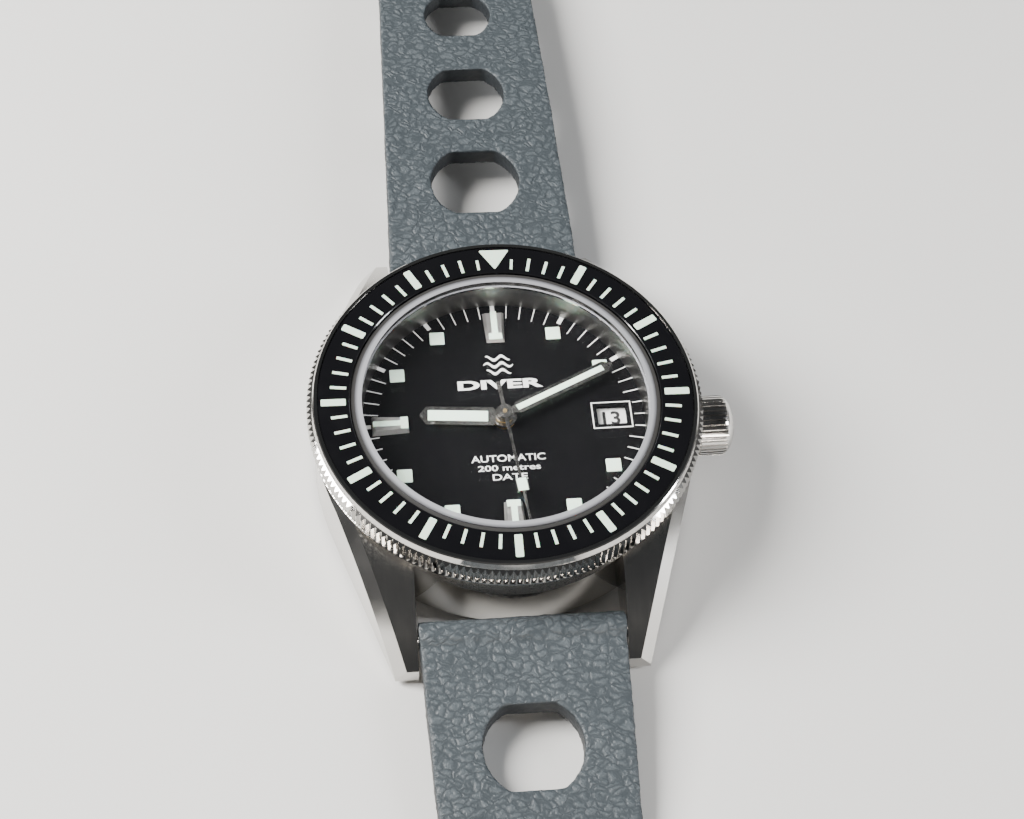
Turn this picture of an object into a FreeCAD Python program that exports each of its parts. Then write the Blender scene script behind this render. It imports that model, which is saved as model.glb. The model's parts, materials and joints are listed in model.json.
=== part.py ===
import FreeCAD, Part

import math
import os

import Sketcher

# Automatic dive watch lying on its case back with both strap halves laid out, in millimetres.
# The origin is the centre of the case back's outer face, on the dial's axis.
# +X points to 3 o'clock and the crown, +Y to 12 o'clock, +Z up through the crystal.

Vector = FreeCAD.Vector
UP = Vector(0, 0, 1)
FULL_TURN = 360

DIMENSIONS = {
    # Middle case and lugs
    "case_base": 1.0,
    "case_top": 9.0,
    "case_half_width": 18.7,
    "case_side_radius": 26.0,
    "case_side_taper": 18.0,
    "lug_reach": 24.0,
    "lug_gap": 20.0,
    "lug_shoulder_y": 9.5,
    "lug_mid_y": 18.0,
    "lug_mid_z": 6.2,
    "lug_tip_top": 2.3,
    "lug_tip_base": 0.6,
    "lug_bevel": 1.05,
    "wall_radius": 18.4,
    "neck_radius": 16.3,
    "neck_top": 10.95,
    "crystal_seat_radius": 15.1,
    "crystal_seat": 10.4,
    "seat_ledge": 9.9,
    "seat_ledge_radius": 14.15,
    "cavity_radius": 14.5,
    "back_bore_radius": 15.0,
    "back_bore_top": 2.35,
    # Case back
    "back_radius": 15.6,
    "back_flange_top": 0.96,
    "back_boss_radius": 14.94,
    "back_boss_top": 2.3,
    "back_inner_radius": 13.9,
    "back_floor": 1.3,
    "back_groove_inner": 15.05,
    "back_groove_outer": 15.4,
    "back_groove_depth": 0.3,
    "wrench_slot_radius": 14.7,
    "wrench_slot_width": 2.4,
    "wrench_slot_depth": 0.6,
    # Bezel
    "bezel_radius": 19.3,
    "bezel_rib_depth": 0.34,
    "bezel_ribs": 180,
    "bezel_base": 9.16,
    "bezel_lip_top": 9.42,
    "bezel_rib_top": 11.45,
    "bezel_edge": 0.12,
    "bezel_rib_run_in": 0.22,
    "bezel_rib_run_out": 0.3,
    "bezel_rim_outer": 18.75,
    "bezel_rim_inner": 18.3,
    "bezel_top": 12.3,
    "bezel_inner": 16.4,
    "bezel_flange_base": 11.05,
    "insert_seat": 11.6,
    "insert_inner": 15.1,
    "insert_top": 12.2,
    "insert_gap": 0.03,
    "insert_edge": 0.07,
    "click_ring_inner": 16.5,
    "click_ring_outer": 17.4,
    "click_ring_thickness": 0.1,
    # Crystal, rehaut and dial
    "crystal_radius": 14.65,
    "crystal_top": 12.15,
    "crystal_bevel": 0.7,
    "crystal_bevel_drop": 0.06,
    "gasket_seat_height": 0.5,
    "gasket_rim_radius": 15.02,
    "gasket_top": 11.95,
    "rehaut_radius": 14.4,
    "rehaut_inner_low": 13.95,
    "rehaut_inner_high": 14.2,
    "dial_radius": 14.3,
    "dial_base": 6.8,
    "dial_top": 7.2,
    "dial_hole": 1.05,
    "date_window_x": 10.7,
    "date_window_width": 2.9,
    "date_window_height": 2.1,
    "index_height": 0.5,
    "index_slope": 0.28,
    "index_inner": 9.4,
    "index_outer": 13.0,
    "index_inner_width": 1.8,
    "index_outer_width": 2.2,
    # Hands
    "hour_hand_z": 7.75,
    "minute_hand_z": 8.25,
    "second_hand_z": 8.75,
    "hand_thickness": 0.15,
    "hour_hand_length": 8.4,
    "hour_hand_width": 2.1,
    "hour_hand_shoulder": 7.7,
    "hour_hand_hub": 1.2,
    "hour_hand_angle": 274.5,
    "minute_hand_length": 12.5,
    "minute_hand_width": 1.35,
    "minute_hand_shoulder": 11.6,
    "minute_hand_hub": 0.9,
    "minute_hand_angle": 64.4,
    "second_hand_length": 12.8,
    "second_hand_tail": 3.5,
    "second_hand_width": 0.26,
    "second_hand_hub": 0.8,
    "second_hand_angle": 174.0,
    "second_lume_inner": 7.8,
    "second_lume_length": 1.5,
    "second_lume_width": 1.2,
    # Movement
    "movement_radius": 12.8,
    "plate_base": 5.1,
    "plate_top": 6.15,
    "bridge_base": 3.0,
    "bridge_top": 3.7,
    "movement_ring_outer": 14.35,
    "movement_ring_base": 3.2,
    "great_recess_top": 5.4,
    "great_recess_gap": 0.3,
    "third_hole": 0.75,
    "cannon_hole": 0.65,
    "barrel_pivot_hole": 0.55,
    "lever_hole": 0.36,
    "stem_slot_start": 6.7,
    "stem_slot_end": 12.15,
    "stem_slot_width": 2.3,
    "driving_recess_base": 5.6,
    "minute_bridge_base": 5.92,
    "driving_recess_radius": 4.35,
    "minute_bridge_radius": 4.95,
    "wheel_thickness": 0.14,
    "pivot_radius": 0.1,
    "pivot_hole": 0.16,
    "jewel_radius": 0.5,
    "jewel_thickness": 0.2,
    "arbor_radius": 0.2,
    "stem_z": 5.2,
    "stem_radius": 0.6,
    # Crown
    "crown_radius": 3.0,
    "crown_inner_x": 19.35,
    "crown_knurl_end": 21.75,
    "crown_outer_x": 23.2,
    "crown_ribs": 36,
    "crown_rib_depth": 0.2,
    "crown_tube_outer": 1.75,
    "crown_tube_bore": 1.3,
    "crown_pipe_radius": 0.9,
    "crown_pipe_start": 18.3,
    "crown_hollow_depth": 1.3,
    "stem_end": 20.4,
    # Strap
    "bar_y": 21.2,
    "bar_z": 3.5,
    "bar_radius": 0.75,
    "bar_tip_radius": 0.38,
    "bar_hole_radius": 0.43,
    "strap_thickness": 2.2,
    "strap_loop_radius": 1.6,
    "strap_loop_bore": 0.83,
    "strap_width": 19.8,
    "strap_end_width": 16.0,
    "strap_taper_length": 62.0,
    "buckle_y": 97.0,
    "buckle_z": 1.7,
    "tail_y": 136.0,
    "rally_hole_cut": 0.86,
    "rally_hole_corner": 1.0,
    "keeper_wall": 0.95,
    "keeper_width": 5.0,
}

doc = FreeCAD.newDocument("dive_watch")
sheet = doc.addObject("Spreadsheet::Sheet", "dims")


class Size:
    """A length or an angle: its number, and the spreadsheet expression that it comes from."""

    def __init__(self, value, text=None):
        self.value = float(value)
        self.text = text or repr(float(value))

    def __add__(self, other):
        other = as_size(other)
        return Size(self.value + other.value, f"({self.text} + {other.text})")

    def __sub__(self, other):
        other = as_size(other)
        return Size(self.value - other.value, f"({self.text} - {other.text})")

    def __mul__(self, other):
        other = as_size(other)
        return Size(self.value * other.value, f"({self.text} * {other.text})")

    def __truediv__(self, other):
        other = as_size(other)
        return Size(self.value / other.value, f"({self.text} / {other.text})")

    def __radd__(self, other):
        return as_size(other) + self

    def __rsub__(self, other):
        return as_size(other) - self

    def __rmul__(self, other):
        return as_size(other) * self

    def __neg__(self):
        return Size(-self.value, f"(0 - {self.text})")

    def __float__(self):
        return self.value


def as_size(number):
    return number if isinstance(number, Size) else Size(number)


def fill_sheet():
    """Writes each dimension to its own row, and gives back the sizes by name."""
    sizes = {}
    for row, (name, value) in enumerate(DIMENSIONS.items(), start=1):
        sheet.set(f"A{row}", name)
        sheet.set(f"B{row}", str(value))
        sheet.setAlias(f"B{row}", name)
        sizes[name] = Size(value, f"dims.{name}")
    doc.recompute()
    return sizes


D = fill_sheet()


def bind(thing, prop, size):
    """Sets a property to a size and ties it to the spreadsheet."""
    size = as_size(size)
    setattr(thing, prop, size.value)
    thing.setExpression(prop, size.text)


def place(thing, position):
    """Puts a primitive at a position made of sizes."""
    for axis, size in zip("xyz", position):
        thing.setExpression(f"Placement.Base.{axis}", as_size(size).text)
    return thing


# ---------------------------------------------------------------- bodies made from sketches


def plane(body, role):
    return [item for item in body.Origin.OriginFeatures if item.Role == role][0]


def sketch_polygon(body, role, points):
    """A closed polygon whose corners are all held by dimensions from the origin."""
    sketch = body.newObject("Sketcher::SketchObject", body.Name + "_sketch")
    sketch.AttachmentSupport = [(plane(body, role), "")]
    sketch.MapMode = "FlatFace"
    corners = [Vector(float(x), float(y), 0) for x, y in points]
    count = len(corners)
    for index in range(count):
        sketch.addGeometry(Part.LineSegment(corners[index], corners[(index + 1) % count]), False)
    for index in range(count):
        sketch.addConstraint(Sketcher.Constraint("Coincident", index, 2, (index + 1) % count, 1))
    for index, (x, y) in enumerate(points):
        for kind, size in (("DistanceX", as_size(x)), ("DistanceY", as_size(y))):
            rule = Sketcher.Constraint(kind, -1, 1, index, 1, size.value)
            number = sketch.addConstraint(rule)
            sketch.setExpression(f"Constraints[{number}]", size.text)
    return sketch


def revolved(name, points):
    """A body turned about the Z axis from (radius, height) corners."""
    body = doc.addObject("PartDesign::Body", name)
    sketch = sketch_polygon(body, "XZ_Plane", points)
    turn = body.newObject("PartDesign::Revolution", name + "_turn")
    turn.Profile = sketch
    turn.ReferenceAxis = (sketch, ["V_Axis"])
    turn.Angle = FULL_TURN
    return body


def turned_on_x(name, points):
    """A body turned about the X axis from (x, radius) corners."""
    body = doc.addObject("PartDesign::Body", name)
    sketch = sketch_polygon(body, "XZ_Plane", points)
    turn = body.newObject("PartDesign::Revolution", name + "_turn")
    turn.Profile = sketch
    turn.ReferenceAxis = (sketch, ["H_Axis"])
    turn.Angle = FULL_TURN
    return body


def cylinder(name, radius, low, high, x=0, y=0):
    tube = doc.addObject("Part::Cylinder", name)
    bind(tube, "Radius", radius)
    bind(tube, "Height", as_size(high) - low)
    return place(tube, (x, y, low))


def cylinder_on_x(name, radius, start, end, y=0, z=0):
    tube = doc.addObject("Part::Cylinder", name)
    bind(tube, "Radius", radius)
    bind(tube, "Height", as_size(end) - start)
    tube.Placement = FreeCAD.Placement(Vector(0, 0, 0), FreeCAD.Rotation(Vector(0, 1, 0), 90))
    return place(tube, (start, y, z))


def box(name, low, high):
    block = doc.addObject("Part::Box", name)
    for prop, start, end in zip(("Length", "Width", "Height"), low, high):
        bind(block, prop, as_size(end) - start)
    return place(block, low)


def cut(name, base, tools):
    """Takes every tool out of the base."""
    tool = tools[0] if len(tools) == 1 else fused(name + "_tools", tools)
    result = doc.addObject("Part::Cut", name)
    result.Base = base
    result.Tool = tool
    return result


def fused(name, shapes):
    result = doc.addObject("Part::MultiFuse", name)
    result.Shapes = shapes
    return result


def common(name, first, second):
    result = doc.addObject("Part::Common", name)
    result.Base = first
    result.Tool = second
    return result


def grouped(name, shapes):
    """Identical pieces kept as separate solids of one node."""
    result = doc.addObject("Part::Compound", name)
    result.Links = shapes
    return result


def shaped(name, shape):
    """A piece whose outline follows a formula."""
    feature = doc.addObject("Part::Feature", name)
    feature.Shape = shape
    return feature


def turn_about(feature, angle, centre=(0, 0, 0), axis=UP):
    """Turns a finished feature about an axis through a point."""
    feature.Placement = FreeCAD.Placement(
        Vector(0, 0, 0), FreeCAD.Rotation(axis, angle), Vector(*centre)
    ).multiply(feature.Placement)
    return feature


# ---------------------------------------------------------------- outlines from formulas


def polar(radius, degrees, centre=(0, 0)):
    angle = math.radians(degrees)
    return (centre[0] + radius * math.cos(angle), centre[1] + radius * math.sin(angle))


def prism(points, low, high):
    corners = [Vector(x, y, float(low)) for x, y in points]
    wire = Part.makePolygon(corners + corners[:1])
    return Part.Face(wire).extrude(UP * (float(high) - float(low)))


def disc(radius, low, high, centre=(0, 0)):
    return Part.makeCylinder(radius, float(high) - float(low), Vector(*centre, float(low)))


def capsule(start, end, radius, low, high):
    """A bar with round ends between two points of the plan."""
    along = math.degrees(math.atan2(end[1] - start[1], end[0] - start[0]))
    corners = (
        polar(radius, along + 90, start),
        polar(radius, along - 90, start),
        polar(radius, along - 90, end),
        polar(radius, along + 90, end),
    )
    bar = prism(corners, low, high)
    return bar.fuse([disc(radius, low, high, start), disc(radius, low, high, end)]).removeSplitter()


TOOTH_SHARE = 0.36
TIP_SHARE = 0.16
ADDENDUM = 0.85
DEDENDUM = 1.25


def gear_outline(teeth, module, phase, centre):
    """Teeth with tapered flanks, thin enough to run with backlash. phase turns the first tooth."""
    pitch = FULL_TURN / teeth
    radius = teeth * module / 2
    root = radius - DEDENDUM * module
    tip = radius + ADDENDUM * module
    points = []
    for tooth in range(teeth):
        middle = phase + tooth * pitch
        for reach, share in ((root, TOOTH_SHARE + 0.06), (radius, TOOTH_SHARE), (tip, TIP_SHARE)):
            points.append((reach, middle - share * pitch / 2))
        for reach, share in ((tip, TIP_SHARE), (radius, TOOTH_SHARE), (root, TOOTH_SHARE + 0.06)):
            points.append((reach, middle + share * pitch / 2))
    return [polar(reach, angle, centre) for reach, angle in points]


def gear(teeth, module, low, high, centre=(0, 0), phase=0):
    return prism(gear_outline(teeth, module, phase, centre), low, high)


def meshing_phase(own_teeth, direction, other_teeth, other_phase):
    """The phase that puts a gap of this gear on the other gear's tooth. direction, in degrees,
    points from the other gear's centre to this one's."""
    from_tooth = (direction - other_phase) / (FULL_TURN / other_teeth)
    offset = from_tooth - math.floor(from_tooth)
    own_pitch = FULL_TURN / own_teeth
    return direction + 180 + (offset + 0.5) * own_pitch


def spoked(wheel, rim_radius, hub_radius, low, high, centre, spokes, arm_width):
    """Opens a wheel between its hub and its rim, leaving the spokes."""
    window = disc(rim_radius, low, high, centre).cut(disc(hub_radius, low, high, centre))
    for spoke in range(spokes):
        tip = polar(rim_radius + arm_width, spoke * FULL_TURN / spokes, centre)
        window = window.cut(capsule(centre, tip, arm_width / 2, low, high))
    return wheel.cut(window)


def spiral(inner, outer, turns, thickness, low, high, centre, start=0):
    """A flat spiral spring: two smooth curves a strip's thickness apart."""
    steps = int(turns * 12)
    sides = []
    for offset in (-thickness / 2, thickness / 2):
        points = []
        for step in range(steps + 1):
            share = step / steps
            reach = inner + (outer - inner) * share + offset
            points.append(Vector(*polar(reach, start + share * turns * FULL_TURN, centre), float(low)))
        curve = Part.BSplineCurve()
        curve.interpolate(points)
        sides.append((curve.toShape(), points[0], points[-1]))
    (inner_edge, inner_start, inner_end), (outer_edge, outer_start, outer_end) = sides
    edges = [
        inner_edge,
        Part.makeLine(inner_end, outer_end),
        outer_edge,
        Part.makeLine(outer_start, inner_start),
    ]
    wire = Part.Wire(Part.__sortEdges__(edges))
    return Part.Face(wire).extrude(UP * (float(high) - float(low)))


def fused_shape(shapes):
    return shapes[0].fuse(shapes[1:]).removeSplitter()


# ---------------------------------------------------------------- middle case


def case_plan():
    """The case seen from above, before the strap gap: arched flanks that taper straight to the lugs."""
    radius = float(D["case_side_radius"])
    taper = math.radians(float(D["case_side_taper"]))
    centre_x = float(D["case_half_width"]) - radius
    arc_end = Vector(centre_x + radius * math.cos(taper), radius * math.sin(taper), 0)
    reach = float(D["lug_reach"])
    tip = Vector(arc_end.x - (reach - arc_end.y) * math.tan(taper), reach, 0)
    middle = Vector(float(D["case_half_width"]), 0, 0)

    def mirrored(point, x_sign, y_sign):
        return Vector(point.x * x_sign, point.y * y_sign, 0)

    right = Part.Arc(mirrored(arc_end, 1, -1), middle, arc_end).toShape()
    left = Part.Arc(mirrored(arc_end, -1, 1), -middle, mirrored(arc_end, -1, -1)).toShape()
    edges = [
        right,
        Part.makeLine(arc_end, tip),
        Part.makeLine(tip, mirrored(tip, -1, 1)),
        Part.makeLine(mirrored(tip, -1, 1), mirrored(arc_end, -1, 1)),
        left,
        Part.makeLine(mirrored(arc_end, -1, -1), mirrored(tip, -1, -1)),
        Part.makeLine(mirrored(tip, -1, -1), mirrored(tip, 1, -1)),
        Part.makeLine(mirrored(tip, 1, -1), mirrored(arc_end, 1, -1)),
    ]
    return Part.Face(Part.Wire(edges))


def case_side():
    """The case seen from 3 o'clock: a flat middle whose lugs curve down to the table."""
    half = float(D["case_half_width"]) + 1
    shoulder = float(D["lug_shoulder_y"])
    reach = float(D["lug_reach"])
    top = float(D["case_top"])
    tip_top = float(D["lug_tip_top"])
    tip_base = float(D["lug_tip_base"])
    base = float(D["case_base"])
    base_y = float(D["wall_radius"]) - 2

    def at(y, z):
        return Vector(-half, y, z)

    def lug_curve(sign):
        mid = at(sign * float(D["lug_mid_y"]), float(D["lug_mid_z"]))
        return Part.Arc(at(sign * shoulder, top), mid, at(sign * reach, tip_top)).toShape()

    edges = [
        Part.makeLine(at(-shoulder, top), at(shoulder, top)),
        lug_curve(1),
        Part.makeLine(at(reach, tip_top), at(reach, tip_base)),
        Part.makeLine(at(reach, tip_base), at(base_y, base)),
        Part.makeLine(at(base_y, base), at(-base_y, base)),
        Part.makeLine(at(-base_y, base), at(-reach, tip_base)),
        Part.makeLine(at(-reach, tip_base), at(-reach, tip_top)),
        lug_curve(-1),
    ]
    return Part.Face(Part.Wire(Part.__sortEdges__(edges))).extrude(Vector(2 * half, 0, 0))


def on_flank_top(edge):
    """Whether an edge runs along the top of a flank or a lug's outer side."""
    point = edge.valueAt((edge.FirstParameter + edge.LastParameter) / 2)
    on_top = point.z > float(D["lug_tip_top"]) + 0.1
    along = edge.BoundBox.YLength > 1
    return on_top and along and abs(point.x) > float(D["lug_gap"]) / 2


def case_blank():
    """The lugs and flanks with their wide polished bevel."""
    height = UP * float(D["case_top"])
    blank = case_plan().extrude(height).common(case_side())
    bevel = float(D["lug_bevel"])
    return blank.makeChamfer(bevel, [edge for edge in blank.Edges if on_flank_top(edge)])


def case_middle():
    gap = D["lug_gap"] / 2
    far = D["lug_reach"] + 1
    top = D["case_top"]
    strap_slot = cut(
        "strap_slot",
        box("strap_slot_block", (-gap, -far, 0), (gap, far, top + 1)),
        [cylinder("strap_slot_wall", D["wall_radius"], -1, top + 2)],
    )
    neck = cylinder("case_neck", D["neck_radius"], top - 0.5, D["neck_top"])
    bores = [
        cylinder("back_bore", D["back_bore_radius"], 0, D["back_bore_top"]),
        cylinder("cavity_bore", D["cavity_radius"], 0, D["seat_ledge"]),
        cylinder("ledge_bore", D["seat_ledge_radius"], 0, top + 3),
        cylinder("crystal_bore", D["crystal_seat_radius"], D["crystal_seat"], top + 3),
        cylinder_on_x("tube_bore", D["crown_tube_outer"], 12, 20, z=D["stem_z"]),
    ]
    hole_depth = D["lug_gap"] / 2 + 1.2
    for sign in (-1, 1):
        bar_y = D["bar_y"] * sign
        name = f"bar_hole_{'six' if sign < 0 else 'twelve'}"
        bores.append(
            cylinder_on_x(name, D["bar_hole_radius"], -hole_depth, hole_depth, bar_y, D["bar_z"])
        )
    lugs = cut("case_lugs", shaped("case_blank", case_blank()), [strap_slot])
    outer = fused("case_outer", [lugs, neck])
    return cut("case_middle", outer, bores)


def crown_tube():
    outer = D["crown_tube_outer"] - 0.01
    bore = D["crown_tube_bore"]
    inner_end = D["cavity_radius"] + 0.25
    outer_end = D["crown_inner_x"] + 1.1
    body = turned_on_x(
        "crown_tube", [(inner_end, bore), (inner_end, outer), (outer_end, outer), (outer_end, bore)]
    )
    return lifted_to_stem(body)


def lifted_to_stem(feature):
    feature.Placement.Base = Vector(0, 0, 0)
    feature.setExpression("Placement.Base.z", D["stem_z"].text)
    return feature


# ---------------------------------------------------------------- case back


def case_back():
    flange = D["back_flange_top"]
    boss = D["back_boss_radius"]
    inner = D["back_inner_radius"]
    groove_floor = flange - D["back_groove_depth"]
    profile = [
        (0, 0),
        (D["back_radius"] - 0.3, 0),
        (D["back_radius"], 0.3),
        (D["back_radius"], flange),
        (D["back_groove_outer"], flange),
        (D["back_groove_outer"], groove_floor),
        (D["back_groove_inner"], groove_floor),
        (D["back_groove_inner"], flange),
        (boss, flange),
        (boss, D["back_boss_top"]),
        (inner, D["back_boss_top"]),
        (inner, D["back_floor"]),
        (0, D["back_floor"]),
    ]
    blank = revolved("case_back_blank", profile)
    half = D["wrench_slot_width"] / 2
    slots = []
    for number in range(3):
        slot = box(
            f"wrench_slot_{number}",
            (D["wrench_slot_radius"] - 1, -half, -1),
            (D["back_radius"] + 1, half, D["wrench_slot_depth"]),
        )
        far_slot = box(
            f"wrench_slot_far_{number}",
            (-D["back_radius"] - 1, -half, -1),
            (1 - D["wrench_slot_radius"], half, D["wrench_slot_depth"]),
        )
        pair = fused(f"wrench_slots_{number}", [slot, far_slot])
        pair.Placement = FreeCAD.Placement(Vector(0, 0, 0), FreeCAD.Rotation(UP, 60 * number + 30))
        slots.append(pair)
    return cut("case_back", blank, slots)


def plain_ring(name, inner, outer, low, high):
    return revolved(name, [(inner, low), (outer, low), (outer, high), (inner, high)])


PRESS_GAP = 0.02


def case_back_gasket():
    low = D["back_flange_top"] - D["back_groove_depth"]
    return plain_ring(
        "case_back_gasket",
        D["back_groove_inner"] + PRESS_GAP,
        D["back_groove_outer"] - PRESS_GAP,
        low,
        D["case_base"],
    )


# ---------------------------------------------------------------- bezel


def rib_outline(ribs, groove, tip, foot_share, tip_share):
    """A ribbed circle. The shares of a pitch give half a rib's width at its foot and at its tip."""
    pitch = FULL_TURN / ribs
    points = []
    for rib in range(ribs):
        middle = rib * pitch
        for reach, share in (
            (groove, -foot_share),
            (tip, -tip_share),
            (tip, tip_share),
            (groove, foot_share),
        ):
            points.append(polar(reach, middle + share * pitch))
    return points


def bezel_ring():
    """The coin-edged ring that turns round the neck and holds the insert."""
    edge = D["bezel_edge"]
    lip = D["bezel_radius"] - edge
    root = D["bezel_radius"] - D["bezel_rib_depth"]
    profile = [
        (D["bezel_inner"], D["bezel_base"]),
        (lip, D["bezel_base"]),
        (lip, D["bezel_lip_top"] - edge * 0.7),
        (root, D["bezel_lip_top"]),
        (D["bezel_radius"], D["bezel_lip_top"] + D["bezel_rib_run_in"]),
        (D["bezel_radius"], D["bezel_rib_top"] - D["bezel_rib_run_out"]),
        (root - edge * 0.7, D["bezel_rib_top"]),
        (D["bezel_rim_outer"], D["bezel_top"] - edge),
        (D["bezel_rim_outer"] - edge, D["bezel_top"]),
        (D["bezel_rim_inner"], D["bezel_top"]),
        (D["bezel_rim_inner"], D["insert_seat"]),
        (D["insert_inner"], D["insert_seat"]),
        (D["insert_inner"], D["bezel_flange_base"]),
        (D["bezel_inner"], D["bezel_flange_base"]),
    ]
    blank = revolved("bezel_blank", profile)
    ribs = int(D["bezel_ribs"].value)
    groove = float(D["bezel_radius"] - D["bezel_rib_depth"])
    outline = rib_outline(ribs, groove, float(D["bezel_radius"]) + 0.02, 0.45, 0.05)
    ribbed = shaped("bezel_ribbed", prism(outline, D["bezel_lip_top"], D["bezel_top"] + 1))
    low_part = cylinder("bezel_low_part", D["bezel_radius"] + 1, 0, D["bezel_lip_top"])
    envelope = fused("bezel_envelope", [ribbed, low_part])
    return common("bezel_ring", blank, envelope)


def bezel_insert():
    gap = D["insert_gap"]
    inner = D["insert_inner"] + gap
    outer = D["bezel_rim_inner"] - gap
    seat = D["insert_seat"]
    top = D["insert_top"]
    edge = D["insert_edge"]
    profile = [
        (inner, seat),
        (outer, seat),
        (outer, top - edge),
        (outer - edge, top),
        (inner + edge, top),
        (inner, top - edge),
    ]
    return revolved("bezel_insert", profile)


def bezel_click_spring():
    """A flat ring between the bezel and the case."""
    low = D["case_top"] + 0.01
    high = low + D["click_ring_thickness"]
    return plain_ring("bezel_click_spring", D["click_ring_inner"], D["click_ring_outer"], low, high)


# ---------------------------------------------------------------- crystal, rehaut and dial


def crystal():
    radius = D["crystal_radius"]
    top = D["crystal_top"]
    inner = radius - D["crystal_bevel"]
    seat = D["crystal_seat"]
    edge_top = top - D["crystal_bevel_drop"]
    profile = [(0, seat), (radius, seat), (radius, edge_top), (inner, top), (0, top)]
    return revolved("crystal", profile)


def crystal_gasket():
    """Nylon ring pressed between the crystal and the case. Its thinner rim shows inside the insert."""
    low = D["crystal_seat"]
    step = low + D["gasket_seat_height"]
    inner = D["crystal_radius"] + 0.005
    outer = D["crystal_seat_radius"] - 0.005
    rim = D["gasket_rim_radius"]
    top = D["gasket_top"]
    profile = [(inner, low), (outer, low), (outer, step), (rim, step), (rim, top), (inner, top)]
    return revolved("crystal_gasket", profile)


def rehaut():
    low = D["dial_top"] + PRESS_GAP
    high = D["seat_ledge"] - PRESS_GAP
    outer = D["rehaut_radius"]
    profile = [
        (D["rehaut_inner_low"], low),
        (outer, low),
        (outer, high),
        (D["rehaut_inner_high"], high),
    ]
    return revolved("rehaut", profile)


def dial():
    plate = cylinder("dial_plate", D["dial_radius"], D["dial_base"], D["dial_top"])
    hole = cylinder("dial_centre_hole", D["dial_hole"], 0, D["case_top"])
    x = D["date_window_x"]
    half_width = D["date_window_width"] / 2
    half_height = D["date_window_height"] / 2
    window_low = (x - half_width, -half_height, 0)
    window_high = (x + half_width, half_height, D["case_top"])
    window = box("date_window", window_low, window_high)
    return cut("dial", plate, [hole, window])


def dial_indexes():
    """Applied tapered batons at 12, 6 and 9, wider at the rim, with bevelled long edges."""
    inner = float(D["index_inner"])
    outer = float(D["index_outer"])
    low = float(D["dial_top"])
    height = float(D["index_height"])
    half_inner = float(D["index_inner_width"]) / 2
    half_outer = float(D["index_outer_width"]) / 2
    slope = float(D["index_slope"])
    batons = []
    for number, angle in enumerate((90, 180, 270)):
        foot = Part.makePolygon(
            [
                Vector(inner, -half_inner, low),
                Vector(outer, -half_outer, low),
                Vector(outer, half_outer, low),
                Vector(inner, half_inner, low),
                Vector(inner, -half_inner, low),
            ]
        )
        crown_wire = Part.makePolygon(
            [
                Vector(inner + slope, slope - half_inner, low + height),
                Vector(outer - slope, slope - half_outer, low + height),
                Vector(outer - slope, half_outer - slope, low + height),
                Vector(inner + slope, half_inner - slope, low + height),
                Vector(inner + slope, slope - half_inner, low + height),
            ]
        )
        baton = shaped(f"index_{number}", Part.makeLoft([foot, crown_wire], True, True))
        batons.append(turn_about(baton, angle))
    return grouped("dial_indexes", batons)


# ---------------------------------------------------------------- hands


def clock_direction(degrees_from_twelve):
    return 90 - degrees_from_twelve


def hand(name, outline, z, hub_radius, bore, angle):
    """A flat hand drawn along +X from its hub, then turned to its reading."""
    low = float(z)
    high = low + float(D["hand_thickness"])
    blade = prism(outline, low, high).fuse([disc(hub_radius, low, high)]).removeSplitter()
    feature = shaped(name, blade.cut(disc(bore, low - 1, high + 1)))
    return turn_about(feature, clock_direction(float(angle)))


NECK_WIDTH_SHARE = 0.55
NECK_START_SHARE = 0.1
NECK_END_SHARE = 0.14


def baton_outline(length, width, shoulder):
    """A hand with a narrow neck at its hub, straight sides to its shoulder and a pointed tip."""
    half = float(width) / 2
    reach = float(length)
    shoulder = float(shoulder)
    neck = half * NECK_WIDTH_SHARE
    neck_start = shoulder * NECK_START_SHARE
    neck_end = shoulder * NECK_END_SHARE
    return [
        (0, -neck),
        (neck_start, -neck),
        (neck_end, -half),
        (shoulder, -half),
        (reach, 0),
        (shoulder, half),
        (neck_end, half),
        (neck_start, neck),
        (0, neck),
    ]


def hour_hand():
    outline = baton_outline(D["hour_hand_length"], D["hour_hand_width"], D["hour_hand_shoulder"])
    hub = float(D["hour_hand_hub"])
    return hand("hour_hand", outline, D["hour_hand_z"], hub, HOUR_PIPE_OUTER, D["hour_hand_angle"])


def minute_hand():
    outline = baton_outline(
        D["minute_hand_length"], D["minute_hand_width"], D["minute_hand_shoulder"]
    )
    hub = float(D["minute_hand_hub"])
    z = D["minute_hand_z"]
    return hand("minute_hand", outline, z, hub, CANNON_PIPE_OUTER, D["minute_hand_angle"])


TAIL_WIDENING = 1.6
TIP_NARROWING = 0.7


def second_hand():
    """A needle with a small rectangular plate for its paint and a tail behind the hub."""
    half = float(D["second_hand_width"]) / 2
    inner = float(D["second_lume_inner"])
    outer = inner + float(D["second_lume_length"])
    plate = float(D["second_lume_width"]) / 2
    tail = float(D["second_hand_tail"])
    reach = float(D["second_hand_length"])
    outline = [
        (-tail, -half * TAIL_WIDENING),
        (inner, -half),
        (inner, -plate),
        (outer, -plate),
        (outer, -half),
        (reach, -half * TIP_NARROWING),
        (reach, half * TIP_NARROWING),
        (outer, half),
        (outer, plate),
        (inner, plate),
        (inner, half),
        (-tail, half * TAIL_WIDENING),
    ]
    hub = float(D["second_hand_hub"])
    bore = float(D["arbor_radius"])
    return hand("second_hand", outline, D["second_hand_z"], hub, bore, D["second_hand_angle"])


# ---------------------------------------------------------------- movement layout

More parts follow.
